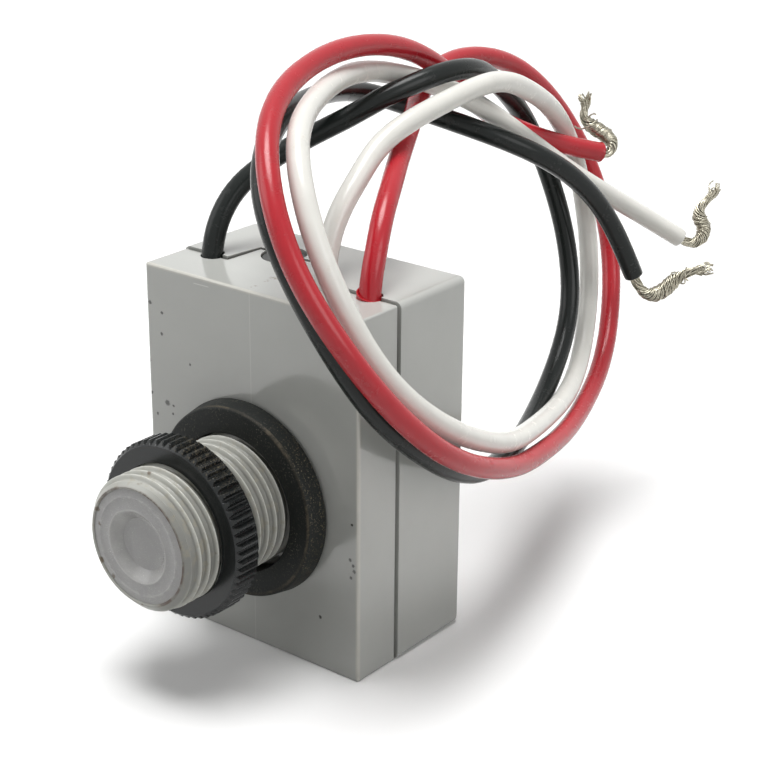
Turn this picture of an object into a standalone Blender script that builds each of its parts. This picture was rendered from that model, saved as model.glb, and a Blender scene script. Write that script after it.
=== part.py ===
"""Photocell switch: a button-size dusk-to-dawn lamp control in a flat plastic box.

The box stands on its bottom face. A threaded nipple with a clear lens looks out of its front, and
carries a rubber gasket and a knurled lock nut that clamp it in a half-inch knockout. Three building
wires leave the top through the parting line. Inside, a light cell behind the lens feeds a small
heater beside a bimetal blade, and the blade opens the contact between the black and red leads.

Metres, +X to the right, +Y to the back, +Z up. Pieces are laid out from the middle of the box's
front face at its bottom edge, and an empty then moves them so that the origin is the middle of the
whole body's footprint.
"""

import math

import bmesh
import bpy
import numpy as np
from mathutils import Matrix, Vector

MM = 0.001

# Clearances
SEAT_GAP = 0.3 * MM
LEAD_CLEARANCE = 0.55 * MM
CUT_OVERRUN = 1.0 * MM
UNION_SINK = 0.4 * MM
MERGE = 0.01 * MM

# Housing: a shallow front shell and a deeper rear shell that stands out past it
HOUSING_WIDTH = 42.4 * MM
HOUSING_HEIGHT = 58.7 * MM
FRONT_DEPTH = 8.85 * MM
REAR_DEPTH = 16.45 * MM
REAR_STEP = 0.4 * MM
FRONT_WALL = 2.0 * MM
REAR_WALL = 2.4 * MM
FRONT_EDGE_RADIUS = 0.4 * MM
REAR_EDGE_RADIUS = 1.1 * MM
LIP_THICKNESS = 0.7 * MM
LIP_LENGTH = 1.5 * MM

# Where the leads leave: the outer two are set in from the front shell's sides
BLACK_INSET = 5.7 * MM
RED_INSET = 5.2 * MM
RED_TO_WHITE = 8.5 * MM

# Tongue of the front shell that reaches back over the adjuster, between the black and white leads
BLACK_TO_TONGUE = 4.3 * MM
TONGUE_SHORT_OF_WHITE = 4.5 * MM
TONGUE_REACH = 6.7 * MM
TONGUE_FLARE = 1.0 * MM

# Nipple, with the coarse moulded thread of a half-inch conduit fitting
NIPPLE_X = -0.8 * MM
NIPPLE_Z = 25.5 * MM
NIPPLE_LENGTH = 24.0 * MM
THREAD_RADIUS = 10.65 * MM
THREAD_DEPTH = 0.8 * MM
THREAD_PITCH = 25.4 / 14 * MM
THREAD_CREST = 0.55 * MM
THREAD_ROOT = 0.45 * MM
THREAD_START = 0.9 * MM
THREAD_STEPS = 22
NIPPLE_CHAMFER = 1.1 * MM

# Lens and light cell
LENS_RADIUS = 8.8 * MM
LENS_THICKNESS = 3.0 * MM
LENS_CROWN = 0.25 * MM
LIGHT_BORE_RADIUS = 7.6 * MM
HOLDER_WALL = 1.7 * MM
HOLDER_FLANGE_RADIUS = 10.2 * MM
HOLDER_FLANGE = 1.5 * MM
HOLDER_LEDGE = 1.4 * MM
CELL_THICKNESS = 2.2 * MM
CELL_DEPTH = 8.0 * MM
CELL_WIRE_RADIUS = 0.3 * MM
CELL_WIRE_SPACING = 3.4 * MM

# Gasket and lock nut
GASKET_FRONT_RADIUS = 15.4 * MM
GASKET_BACK_RADIUS = 15.85 * MM
GASKET_THICKNESS = 3.3 * MM
GASKET_EDGE = 0.5 * MM
GASKET_RIGHT = 0.35 * MM
GASKET_DOWN = 0.25 * MM
NUT_RADIUS = 14.1 * MM
NUT_THICKNESS = 4.95 * MM
NUT_SETBACK = 6.6 * MM
NUT_CHAMFER = 0.75 * MM
KNURL_TEETH = 64
KNURL_DEPTH = 0.55 * MM

# Adjuster under a plug in the top face
BLACK_TO_ADJUSTER = 9.0 * MM
ADJUSTER_PAST_FRONT = 6.85 * MM
PLUG_RADIUS = 3.5 * MM
PLUG_HEAD = 1.1 * MM
PLUG_STEM_RADIUS = 2.3 * MM

# Switch base, carried on three posts of the front shell
BASE_PAST_FRONT = 2.65 * MM
BASE_THICKNESS = 2.0 * MM
BASE_SIDE_SPACE = 1.7 * MM
BASE_LOW_Z = 5.0 * MM
BASE_TOP_SPACE = 12.2 * MM
POST_RADIUS = 2.4 * MM
PIN_RADIUS = 1.2 * MM
LOWER_POST_INSET = 3.5 * MM
LOWER_POST_Z = 9.0 * MM
BLACK_TO_UPPER_POST = 5.0 * MM
UPPER_POST_INSET = 2.5 * MM

# Leads: 14 gauge building wire, each with its end stripped
LEAD_RADIUS = 1.7 * MM
LEAD_TUCK = 8.7 * MM
LEAD_STEP = 8.0 * MM
STRAND_RADIUS = 0.85 * MM

# Crimp terminals and their rivets
TERMINAL_BARREL_RADIUS = 1.7 * MM
TERMINAL_BARREL = 6.0 * MM
TAB_WIDTH = 5.0 * MM
TAB_LENGTH = 11.0 * MM
RIVET_TO_TAB_END = 3.0 * MM
SHEET = 0.8 * MM
RIVET_RADIUS = 1.2 * MM
RIVET_HEAD_RADIUS = 2.2 * MM
RIVET_HEAD = 0.8 * MM

# Bimetal switch on the back of the base
BLADE_THICKNESS = 0.4 * MM
BLADE_WIDTH = 3.6 * MM
BLADE_DROP = 6.5 * MM
BLADE_ROOT_INSET = 3.0 * MM
BLADE_PAST_CONTACT = 2.1 * MM
BLADE_SHELF_REACH = 10.5 * MM
SHELF_REACH = 5.7 * MM
SHELF_PAST_ADJUSTER = 5.5 * MM
CONTACT_RADIUS = 1.4 * MM
CONTACT_HEIGHT = 0.8 * MM
CONTACT_SHANK_RADIUS = 0.7 * MM
SCREW_RADIUS = 1.5 * MM
SCREW_HEAD_RADIUS = 2.6 * MM
SCREW_HEAD = 1.6 * MM
SCREW_SLOT = 0.7 * MM
SCREW_SHELF_DROP = 10.7 * MM
SCREW_HEAD_LIFT = 1.7 * MM
HEATER_RADIUS = 1.6 * MM
HEATER_LENGTH = 8.5 * MM
HEATER_WIRE_RADIUS = 0.35 * MM
HEATER_WIRE = 1.4 * MM
HEATER_POST_RADIUS = 0.7 * MM
HEATER_FROM_SCREW = 0.55 * MM

# Surge arrester, a disc that stands on edge on the base
ARRESTER_RADIUS = 4.0 * MM
ARRESTER_THICKNESS = 3.2 * MM
ARRESTER_X = -8.0 * MM
ARRESTER_Z = 21.0 * MM
ARRESTER_STANDOFF = 1.0 * MM
ARRESTER_WIRE_RADIUS = 0.35 * MM
ARRESTER_WIRE_SPACING = 5.0 * MM

# Places that follow from the sizes above
REAR_FRONT_Y = FRONT_DEPTH + SEAT_GAP
REAR_BACK_Y = REAR_FRONT_Y + REAR_DEPTH
PARTING_Y = FRONT_DEPTH + SEAT_GAP / 2
HALF_WIDTH = HOUSING_WIDTH / 2
CAVITY_HALF_WIDTH = HALF_WIDTH + REAR_STEP - REAR_WALL
RED_X = HALF_WIDTH - RED_INSET
LEAD_X = {"black": BLACK_INSET - HALF_WIDTH, "white": RED_X - RED_TO_WHITE, "red": RED_X}
LEAD_INNER_Z = HOUSING_HEIGHT - LEAD_TUCK
TONGUE_LEFT = LEAD_X["black"] + BLACK_TO_TONGUE
TONGUE_RIGHT = LEAD_X["white"] - TONGUE_SHORT_OF_WHITE
ADJUSTER_X = LEAD_X["black"] + BLACK_TO_ADJUSTER
ADJUSTER_Y = FRONT_DEPTH + ADJUSTER_PAST_FRONT
BASE_FRONT_Y = FRONT_DEPTH + BASE_PAST_FRONT
BASE_BACK_Y = BASE_FRONT_Y + BASE_THICKNESS
BASE_HALF_WIDTH = CAVITY_HALF_WIDTH - BASE_SIDE_SPACE
BASE_HIGH_Z = HOUSING_HEIGHT - BASE_TOP_SPACE
LOWER_POST_X = BASE_HALF_WIDTH - LOWER_POST_INSET
UPPER_POST_X = LEAD_X["black"] + BLACK_TO_UPPER_POST
UPPER_POST_Z = BASE_HIGH_Z - UPPER_POST_INSET
NIPPLE_AXIS = Vector((NIPPLE_X, 0, NIPPLE_Z))
THREAD_BORE_RADIUS = THREAD_RADIUS + SEAT_GAP
GASKET_BORE_RADIUS = THREAD_BORE_RADIUS + math.hypot(GASKET_RIGHT, GASKET_DOWN)
CELL_RADIUS = LIGHT_BORE_RADIUS - SEAT_GAP - HOLDER_WALL - SEAT_GAP
RIVET_Z = LEAD_INNER_Z - SEAT_GAP - TERMINAL_BARREL - TAB_LENGTH + RIVET_TO_TAB_END
SCREW_SHELF_Z = HOUSING_HEIGHT - SCREW_SHELF_DROP
BLADE_Z = SCREW_SHELF_Z - BLADE_DROP
BLADE_RIGHT_X = RED_X + TAB_WIDTH / 2
BLADE_ROOT_X = BLADE_RIGHT_X - BLADE_ROOT_INSET
BRACKET_INNER_X = BLADE_RIGHT_X - BLADE_SHELF_REACH
BLADE_TIP_X = ADJUSTER_X - BLADE_PAST_CONTACT
BLADE_HINGE_X = (BLADE_ROOT_X + BRACKET_INNER_X) / 2
FRONT_TO_BACK_CENTRE = (REAR_BACK_Y - NIPPLE_LENGTH) / 2

# Each lead's route from the crimp terminal to the stripped end, in millimetres from the front face's
# bottom middle. The points were read from the photograph and set by hand so that the three leads
# clear each other and the box.
ROUTES = {
    "black": [
        (-15.5, 8.8, 50), (-15.5, 8.8, 55), (-15.5, 9.2, 60), (-15.3, 11.1, 64.9), (-14.3, 14.7, 69.2),
        (-12.6, 18, 71.8), (-10.2, 21.7, 74.3), (-7.2, 25, 76.6), (-3.8, 28.6, 79), (-0.6, 32.8, 81.6),
        (2.1, 37.6, 83.5), (3.5, 43, 84.4), (3.7, 48.7, 84.1), (2.5, 55, 82.4), (0.9, 61.7, 79),
        (-0.7, 73.6, 69.4), (1.2, 78.1, 59.6), (4.9, 78.6, 48.7), (8.5, 75.2, 37), (11.4, 67.1, 29.6),
        (15.6, 55.1, 25.9), (20.5, 42.2, 25.5), (24.1, 30, 26.6), (26.6, 18.2, 30.5), (27.3, 7.9, 37),
        (25.5, -1.3, 46), (21.7, -7.2, 57), (16, -9.3, 67.7), (9, -6.3, 77.3), (3, 2.6, 82.7),
        (-2, 13.7, 83.6), (-7.2, 28, 82.4), (-8.9, 41.6, 79.1), (-3.8, 50.6, 75), (5.1, 56.8, 71.3),
        (11.3, 66.5, 65.1), (14.6, 76.1, 55.3), (18, 81, 43.7),
    ],
    "white": [
        (7.5, 8.9, 50), (7.5, 8.9, 54.5), (7.4, 9.1, 58.8), (7, 10.3, 64), (6.8, 13.2, 69),
        (6.5, 18, 73.2), (6.3, 22.8, 76.7), (6.9, 30, 79.6), (7.8, 37.4, 81.3), (8.9, 49.3, 82.6),
        (7.4, 61.1, 79), (4.3, 74.5, 72), (3.1, 83.2, 62.3), (4.5, 85.7, 51), (7.4, 83.3, 39),
        (11.4, 75.6, 30.2), (16.1, 64.7, 27.2), (20.6, 52, 27.7), (24.5, 40.2, 29.6), (27.8, 28.7, 32.3),
        (29.7, 16.8, 37.4), (30, 6.7, 43.7), (27.8, -2, 52.5), (23.6, -6.9, 64), (17.8, -6.7, 74.8),
        (10.8, -0.8, 83), (4.6, 9.7, 85.9), (-0.5, 22.2, 86.5), (-2.7, 34.3, 85.2), (0, 44.8, 81.8),
        (1.6, 55.8, 76.4), (4.6, 65.1, 69.6), (8.7, 75.2, 61.7), (12.5, 86.2, 54.4), (18.5, 95.7, 47.2),
    ],
    "red": [
        (16, 8.8, 50), (16, 8.8, 55), (15.9, 9.2, 60), (15.3, 11.2, 65), (13.7, 14.7, 69),
        (11, 20, 71.8), (7.5, 26.3, 74), (3.5, 33.8, 76.4), (-0.9, 41.5, 78), (-4.7, 48.7, 79.9),
        (-7, 56, 81.5), (-7.2, 66, 81.7), (-6, 77.5, 78), (-4, 87.7, 69.5), (-0.6, 93.6, 58.5),
        (4, 94.3, 46), (8.6, 89.2, 34.5), (13, 80, 27), (17.5, 67.7, 24), (22, 54.7, 24),
        (25.7, 42.7, 25.6), (29, 30.2, 28.2), (31.5, 18.2, 32.6), (32.4, 6.3, 39.2), (30.4, -3.5, 48.5),
        (26, -9.8, 59), (19, -11.8, 70.2), (11.6, -8, 80.4), (5, 0.6, 86.4), (0.4, 13, 89.7),
        (-1.4, 27, 90.5), (-1.6, 39.5, 88.1), (-1.9, 51.6, 81.8), (-1.2, 62.5, 73.5), (3.7, 71.9, 68),
        (9, 82.4, 64.3),
    ],
}

# Bare twisted ends, from just past each lead's stripped end to the frayed tip, in millimetres from
# that end.
STRAND_ROUTES = {
    "black": [
        (0, 0, 0), (1.2, 0.4, -1.6), (2.6, 1.7, -2.3), (3.8, 3.3, -1.5), (5.1, 5.0, 0.2), (6.7, 6.3, 1.5),
        (8.4, 7.6, 2.0), (10.3, 9.0, 1.8),
    ],
    "white": [
        (0, 0, 0), (1.1, 1.2, -0.4), (1.9, 2.6, 0.5), (1.8, 3.4, 2.1), (1.0, 3.2, 3.7), (0.6, 3.6, 5.2),
        (1.1, 4.8, 6.6), (1.8, 6.2, 7.8), (2.4, 7.6, 9.1),
    ],
    "red": [
        (0, 0, 0), (0.3, 1.4, 0.6), (-0.6, 2.0, 2.0), (-2.0, 1.2, 3.3), (-3.5, 0.1, 4.5), (-4.6, -0.5, 6.0),
        (-4.8, 0.2, 7.5), (-5.2, 0.8, 8.8), (-5.6, 1.1, 10.1),
    ],
}

GREY_PLASTIC = (0.38, 0.39, 0.375)
CORE_FACETS = 27
BORE_FACETS = 40
ROUND_FACETS = 24
SMALL_FACETS = 14


def clear_scene():
    """Start from an empty file."""
    for obj in list(bpy.data.objects):
        bpy.data.objects.remove(obj, do_unlink=True)


def new_collection(name):
    collection = bpy.data.collections.new(name)
    bpy.context.scene.collection.children.link(collection)
    return collection


def finish(obj, colour, roughness, metallic=0.0):
    """Give an object its own Principled material."""
    material = bpy.data.materials.new(obj.name + "_finish")
    material.use_nodes = True
    shader = material.node_tree.nodes["Principled BSDF"]
    shader.inputs["Base Color"].default_value = (*colour, 1.0)
    shader.inputs["Roughness"].default_value = roughness
    shader.inputs["Metallic"].default_value = metallic
    obj.data.materials.clear()
    obj.data.materials.append(material)


def add_object(name, data, collection, location=(0, 0, 0), rotation=(0, 0, 0)):
    """Place new data in a collection, under the empty that carries the whole part."""
    obj = bpy.data.objects.new(name, data)
    collection.objects.link(obj)
    obj.parent = carrier
    obj.location = location
    obj.rotation_euler = rotation
    if collection is cutters:
        obj.hide_render = True
        obj.display_type = "WIRE"
    return obj


def mesh_object(name, bm, collection, location=(0, 0, 0), rotation=(0, 0, 0), smooth=False):
    bmesh.ops.recalc_face_normals(bm, faces=bm.faces)
    mesh = bpy.data.meshes.new(name)
    bm.to_mesh(mesh)
    bm.free()
    if smooth:
        mesh.shade_smooth()
        mesh.set_sharp_from_angle(angle=math.radians(35))
    return add_object(name, mesh, collection, location, rotation)


def box(name, low, high, collection, radius=0.0, sharp_side=None, segments=3):
    """A box between two corners. Its edges are rounded, apart from those of a side left sharp.

    sharp_side names the face whose rim stays sharp, as an axis and a sign, such as (1, -1).
    """
    low, high = Vector(low), Vector(high)
    size = high - low
    bm = bmesh.new()
    matrix = Matrix.Translation((low + high) / 2) @ Matrix.Diagonal((*size, 1))
    bmesh.ops.create_cube(bm, size=1.0, matrix=matrix)
    if radius > 0:
        edges = list(bm.edges)
        if sharp_side is not None:
            axis, sign = sharp_side
            rim = high[axis] if sign > 0 else low[axis]
            edges = [e for e in edges if not all(abs(v.co[axis] - rim) < MERGE for v in e.verts)]
        bmesh.ops.bevel(bm, geom=edges, offset=radius, segments=segments, profile=0.5, affect="EDGES")
    return mesh_object(name, bm, collection, smooth=radius > 0)


ALONG_Z = (0, 0, 0)
ALONG_X = (0, math.radians(90), 0)
TO_FRONT = (math.radians(90), 0, 0)


def cylinder(name, radius, start, length, direction, collection, facets=ROUND_FACETS):
    """A round bar from start, along +Z, +X or towards the front (-Y)."""
    bm = bmesh.new()
    matrix = Matrix.Translation((0, 0, length / 2))
    bmesh.ops.create_cone(
        bm, cap_ends=True, segments=facets, radius1=radius, radius2=radius, depth=length, matrix=matrix
    )
    return mesh_object(name, bm, collection, start, direction, smooth=True)


def turned(name, profile, origin, direction, collection, facets=48, ring=False):
    """A turned piece: (radius, height) points down its outer side, spun about the local Z axis."""
    mesh = bpy.data.meshes.new(name)
    points = [(radius, 0, height) for radius, height in profile]
    edges = [(i, i + 1) for i in range(len(points) - 1)]
    if ring:
        edges.append((len(points) - 1, 0))
    mesh.from_pydata(points, edges, [])
    obj = add_object(name, mesh, collection, origin, direction)
    spin = obj.modifiers.new("spin", "SCREW")
    spin.steps = facets
    spin.render_steps = facets
    spin.use_merge_vertices = True
    spin.merge_threshold = MERGE
    spin.use_smooth_shade = True
    return obj


def boolean(obj, other, operation, solver="EXACT"):
    step = obj.modifiers.new(operation.lower() + "_" + other.name, "BOOLEAN")
    step.operation = operation
    step.object = other
    step.solver = solver


def cut(obj, *others):
    for other in others:
        boolean(obj, other, "DIFFERENCE")


def join(obj, *others):
    for other in others:
        boolean(obj, other, "UNION")


def smooth_route(points, step):
    """Points a step apart along a natural cubic spline through the route's own points."""
    points = np.array(points, dtype=float)
    gaps = np.linalg.norm(np.diff(points, axis=0), axis=1)
    knots = np.concatenate([[0.0], np.cumsum(gaps)])
    count = len(points)
    system = np.zeros((count, count))
    target = np.zeros((count, 3))
    system[0, 0] = system[-1, -1] = 1.0
    for i in range(1, count - 1):
        system[i, i - 1 : i + 2] = gaps[i - 1], 2 * (gaps[i - 1] + gaps[i]), gaps[i]
        after = (points[i + 1] - points[i]) / gaps[i]
        before = (points[i] - points[i - 1]) / gaps[i - 1]
        target[i] = 6 * (after - before)
    bend = np.linalg.solve(system, target)
    stations = np.linspace(0.0, knots[-1], max(2, round(knots[-1] / step)) + 1)
    route = []
    for station in stations:
        i = min(int(np.searchsorted(knots, station, side="right")) - 1, count - 2)
        gap = gaps[i]
        near = (knots[i + 1] - station) / gap
        far = (station - knots[i]) / gap
        place = near * points[i] + far * points[i + 1]
        place = place + ((near**3 - near) * bend[i] + (far**3 - far) * bend[i + 1]) * gap**2 / 6
        route.append(Vector(place))
    return route


def wire(name, points, radius, collection, resolution=2):
    """A round wire with flat ends through the points."""
    curve = bpy.data.curves.new(name, "CURVE")
    curve.dimensions = "3D"
    curve.bevel_depth = radius
    curve.bevel_resolution = resolution
    curve.use_fill_caps = True
    spline = curve.splines.new("POLY")
    spline.points.add(len(points) - 1)
    for point, place in zip(spline.points, points):
        point.co = (*place, 1.0)
    return add_object(name, curve, collection)


def wall_box(name, y_low, y_high, inset, bottom, top, collection):
    """A box across the housing between two depths, set in from the front shell's sides."""
    side = HALF_WIDTH - inset
    return box(name, (-side, y_low, bottom), (side, y_high, top), collection)


def make_tongue(name, grow, low, high):
    """The slanted outline of the front shell's tongue, as a block that can be grown all round."""
    front = FRONT_DEPTH - UNION_SINK
    back = FRONT_DEPTH + TONGUE_REACH + grow
    left, right = TONGUE_LEFT - grow, TONGUE_RIGHT + grow
    outline = [
        (left - TONGUE_FLARE, front),
        (right + TONGUE_FLARE, front),
        (right, back),
        (left, back),
    ]
    bm = bmesh.new()
    face = bm.faces.new([bm.verts.new((x, y, low)) for x, y in outline])
    solid = bmesh.ops.extrude_face_region(bm, geom=[face])
    lifted = [item for item in solid["geom"] if isinstance(item, bmesh.types.BMVert)]
    bmesh.ops.translate(bm, verts=lifted, vec=(0, 0, high - low))
    return mesh_object(name, bm, cutters)


def make_thread_ridge():
    """One long ridge wound round the nipple, its root sunk below the core's surface."""
    turns = (NIPPLE_LENGTH + THREAD_PITCH - THREAD_START) / THREAD_PITCH
    root = THREAD_RADIUS - THREAD_DEPTH - UNION_SINK
    flank = (THREAD_PITCH - THREAD_ROOT - THREAD_CREST) / 2
    widen = flank * UNION_SINK / THREAD_DEPTH
    half_root = THREAD_CREST / 2 + flank + widen
    half_crest = THREAD_CREST / 2
    section = [(root, -half_root), (THREAD_RADIUS, -half_crest), (THREAD_RADIUS, half_crest), (root, half_root)]
    bm = bmesh.new()
    face = bm.faces.new([bm.verts.new((r, 0, h + THREAD_START)) for r, h in section])
    steps = round(turns * THREAD_STEPS)
    bmesh.ops.spin(
        bm,
        geom=[face, *face.edges, *face.verts],
        cent=(0, 0, 0),
        axis=(0, 0, 1),
        dvec=(0, 0, THREAD_PITCH / THREAD_STEPS),
        angle=2 * math.pi * steps / THREAD_STEPS,
        steps=steps,
    )
    return mesh_object("thread_ridge", bm, cutters, NIPPLE_AXIS, TO_FRONT)


def make_nipple():
    """The nipple's core with its thread, trimmed to a lead-in chamfer at the tip."""
    core_radius = THREAD_RADIUS - THREAD_DEPTH
    core = turned(
        "nipple_core",
        [(0, NIPPLE_LENGTH), (core_radius, NIPPLE_LENGTH), (core_radius, -UNION_SINK), (0, -UNION_SINK)],
        NIPPLE_AXIS,
        TO_FRONT,
        cutters,
        CORE_FACETS,
    )
    boolean(core, make_thread_ridge(), "UNION", "MANIFOLD")
    tip_radius = THREAD_RADIUS - NIPPLE_CHAMFER
    beyond = THREAD_RADIUS + CUT_OVERRUN
    tip = NIPPLE_LENGTH
    trim = turned(
        "tip_trim",
        [
            (0, tip + 2 * THREAD_PITCH),
            (beyond + CUT_OVERRUN, tip + 2 * THREAD_PITCH),
            (beyond + CUT_OVERRUN, tip - (beyond - tip_radius)),
            (beyond, tip - (beyond - tip_radius)),
            (tip_radius, tip),
            (0, tip),
        ],
        NIPPLE_AXIS,
        TO_FRONT,
        cutters,
        CORE_FACETS,
    )
    boolean(core, trim, "DIFFERENCE", "MANIFOLD")
    return core


def make_post(name, x, z):
    """A post on the front shell's inner face, with the pin that locates the switch base."""
    shoulder = BASE_FRONT_Y - SEAT_GAP
    start = (x, shoulder, z)
    post = cylinder(name, POST_RADIUS, start, shoulder - FRONT_WALL + UNION_SINK, TO_FRONT, cutters)
    pin_end = BASE_BACK_Y - SEAT_GAP
    pin_length = pin_end - shoulder + UNION_SINK
    join(post, cylinder(name + "_pin", PIN_RADIUS, (x, pin_end, z), pin_length, TO_FRONT, cutters, SMALL_FACETS))
    return post


def lead_hole(colour):
    start = (LEAD_X[colour], PARTING_Y, HOUSING_HEIGHT - REAR_WALL - CUT_OVERRUN)
    length = REAR_WALL + REAR_STEP + 2 * CUT_OVERRUN
    return cylinder("lead_hole_" + colour, LEAD_RADIUS + LEAD_CLEARANCE, start, length, ALONG_Z, cutters)


def plug_hole():
    """The stepped hole under the plug, cut half in the tongue and half in the rear shell."""
    floor = HOUSING_HEIGHT - PLUG_HEAD - SEAT_GAP
    stem = HOUSING_HEIGHT - REAR_WALL - CUT_OVERRUN
    top = HOUSING_HEIGHT + REAR_STEP + CUT_OVERRUN
    outer, inner = PLUG_RADIUS + SEAT_GAP, PLUG_STEM_RADIUS + SEAT_GAP
    profile = [(0, top), (outer, top), (outer, floor), (inner, floor), (inner, stem), (0, stem)]
    return turned("plug_hole", profile, (ADJUSTER_X, ADJUSTER_Y, 0), ALONG_Z, cutters, 32)


def make_front_housing(holes, plug_opening):
    shell = box(
        "front_housing",
        (-HALF_WIDTH, 0, 0),
        (HALF_WIDTH, FRONT_DEPTH, HOUSING_HEIGHT),
        parts,
        FRONT_EDGE_RADIUS,
        (1, 1),
        2,
    )
    ceiling = HOUSING_HEIGHT - FRONT_WALL
    cavity = wall_box(
        "front_cavity", FRONT_WALL, FRONT_DEPTH + CUT_OVERRUN, FRONT_WALL, FRONT_WALL, ceiling, cutters
    )
    margin = HALF_WIDTH - CAVITY_HALF_WIDTH - LIP_THICKNESS - SEAT_GAP
    rebate = wall_box(
        "lip_rebate",
        FRONT_DEPTH - LIP_LENGTH,
        FRONT_DEPTH + CUT_OVERRUN,
        margin,
        margin,
        HOUSING_HEIGHT - margin,
        cutters,
    )
    cut(shell, cavity, rebate)
    join(shell, make_tongue("tongue", 0.0, ceiling, HOUSING_HEIGHT))
    join(shell, make_post("post_left", -LOWER_POST_X, LOWER_POST_Z))
    join(shell, make_post("post_right", LOWER_POST_X, LOWER_POST_Z))
    join(shell, make_post("post_top", UPPER_POST_X, UPPER_POST_Z))
    cut(shell, *holes, plug_opening)
    boolean(shell, make_nipple(), "UNION", "MANIFOLD")
    bore_floor = -FRONT_WALL - CUT_OVERRUN
    seat_floor = NIPPLE_LENGTH - LENS_THICKNESS - SEAT_GAP
    mouth = NIPPLE_LENGTH + CUT_OVERRUN
    seat_radius = LENS_RADIUS + SEAT_GAP
    bore = turned(
        "light_bore",
        [
            (0, mouth),
            (seat_radius, mouth),
            (seat_radius, seat_floor),
            (LIGHT_BORE_RADIUS, seat_floor),
            (LIGHT_BORE_RADIUS, bore_floor),
            (0, bore_floor),
        ],
        NIPPLE_AXIS,
        TO_FRONT,
        cutters,
        BORE_FACETS,
    )
    boolean(shell, bore, "DIFFERENCE", "MANIFOLD")
    finish(shell, GREY_PLASTIC, 0.35)


def make_rear_housing(holes, plug_opening):
    outer_half = HALF_WIDTH + REAR_STEP
    top = HOUSING_HEIGHT + REAR_STEP
    shell = box(
        "rear_housing",
        (-outer_half, REAR_FRONT_Y, 0),
        (outer_half, REAR_BACK_Y, top),
        parts,
        REAR_EDGE_RADIUS,
        (1, -1),
        4,
    )
    inset = HALF_WIDTH - CAVITY_HALF_WIDTH
    lip_inset = inset - LIP_THICKNESS
    lip_front = REAR_FRONT_Y - LIP_LENGTH
    lip = wall_box(
        "lip", lip_front, REAR_FRONT_Y + UNION_SINK, lip_inset, lip_inset, HOUSING_HEIGHT - lip_inset, cutters
    )
    cavity = wall_box(
        "rear_cavity",
        lip_front - CUT_OVERRUN,
        REAR_BACK_Y - REAR_WALL,
        inset,
        inset,
        HOUSING_HEIGHT - inset,
        cutters,
    )
    join(shell, lip)
    cut(shell, cavity)
    notch_top = top + CUT_OVERRUN
    notch_floor = HOUSING_HEIGHT - FRONT_WALL - CUT_OVERRUN
    notch = make_tongue("tongue_notch", SEAT_GAP, notch_floor, notch_top)
    cut(shell, notch)
    for name, x in (("clamp_left", -LOWER_POST_X), ("clamp_right", LOWER_POST_X)):
        start = (x, REAR_BACK_Y - REAR_WALL + UNION_SINK, LOWER_POST_Z)
        length = REAR_BACK_Y - REAR_WALL + UNION_SINK - BASE_BACK_Y - SEAT_GAP
        join(shell, cylinder(name, POST_RADIUS, start, length, TO_FRONT, cutters))
    cut(shell, *holes, plug_opening)
    finish(shell, GREY_PLASTIC, 0.35)


def make_plug():
    top = HOUSING_HEIGHT
    shoulder = top - PLUG_HEAD
    foot = HOUSING_HEIGHT - FRONT_WALL
    profile = [
        (0, top),
        (PLUG_RADIUS, top),
        (PLUG_RADIUS, shoulder),
        (PLUG_STEM_RADIUS, shoulder),
        (PLUG_STEM_RADIUS, foot),
        (0, foot),
    ]
    plug = turned("adjuster_plug", profile, (ADJUSTER_X, ADJUSTER_Y, 0), ALONG_Z, parts, 32)
    finish(plug, (0.05, 0.052, 0.052), 0.5)


def make_lens():
    """Clear plug with a faintly crowned face, seated on the step of the nipple's bore."""
    edge = NIPPLE_LENGTH - LENS_CROWN
    back = NIPPLE_LENGTH - LENS_THICKNESS
    profile = [(0, NIPPLE_LENGTH)]
    for step in range(1, 5):
        share = step / 4
        profile.append((LENS_RADIUS * share, NIPPLE_LENGTH - LENS_CROWN * share**2))
    profile += [(LENS_RADIUS, back), (0, back)]
    lens = turned("lens", profile, NIPPLE_AXIS, TO_FRONT, parts)
    finish(lens, (0.75, 0.76, 0.74), 0.12)
    return edge


def make_cell_holder():
    """Tube that stands in the light bore, with a ledge for the cell and a flange behind the wall."""
    outer = LIGHT_BORE_RADIUS - SEAT_GAP
    inner = outer - HOLDER_WALL
    front = NIPPLE_LENGTH - LENS_THICKNESS - SEAT_GAP
    ledge = CELL_DEPTH - CELL_THICKNESS / 2 - SEAT_GAP
    flange_front = -FRONT_WALL - SEAT_GAP
    flange_back = flange_front - HOLDER_FLANGE
    profile = [
        (outer, front),
        (outer, flange_front),
        (HOLDER_FLANGE_RADIUS, flange_front),
        (HOLDER_FLANGE_RADIUS, flange_back),
        (inner - HOLDER_LEDGE, flange_back),
        (inner - HOLDER_LEDGE, ledge),
        (inner, ledge),
        (inner, front),
    ]
    holder = turned("cell_holder", profile, NIPPLE_AXIS, TO_FRONT, parts, ring=True)
    finish(holder, (0.6, 0.6, 0.57), 0.5)


def make_photocell():
    """The light cell, a resin disc on the holder's ledge, and its two wires to the base."""
    front = CELL_DEPTH + CELL_THICKNESS / 2
    back = CELL_DEPTH - CELL_THICKNESS / 2
    rim = 0.4 * MM
    profile = [(0, front), (CELL_RADIUS - rim, front), (CELL_RADIUS, front - rim), (CELL_RADIUS, back), (0, back)]
    cell = turned("photocell", profile, NIPPLE_AXIS, TO_FRONT, parts, 32)
    finish(cell, (0.55, 0.3, 0.1), 0.4)
    for name, side in (("cell_wire_left", -1), ("cell_wire_right", 1)):
        x = NIPPLE_X + side * CELL_WIRE_SPACING / 2
        start = -back + SEAT_GAP
        end = BASE_BACK_Y + CELL_WIRE_RADIUS
        piece = wire(name, [(x, start, NIPPLE_Z), (x, end, NIPPLE_Z)], CELL_WIRE_RADIUS, parts, 1)
        finish(piece, (0.7, 0.7, 0.68), 0.3, 1.0)


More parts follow.
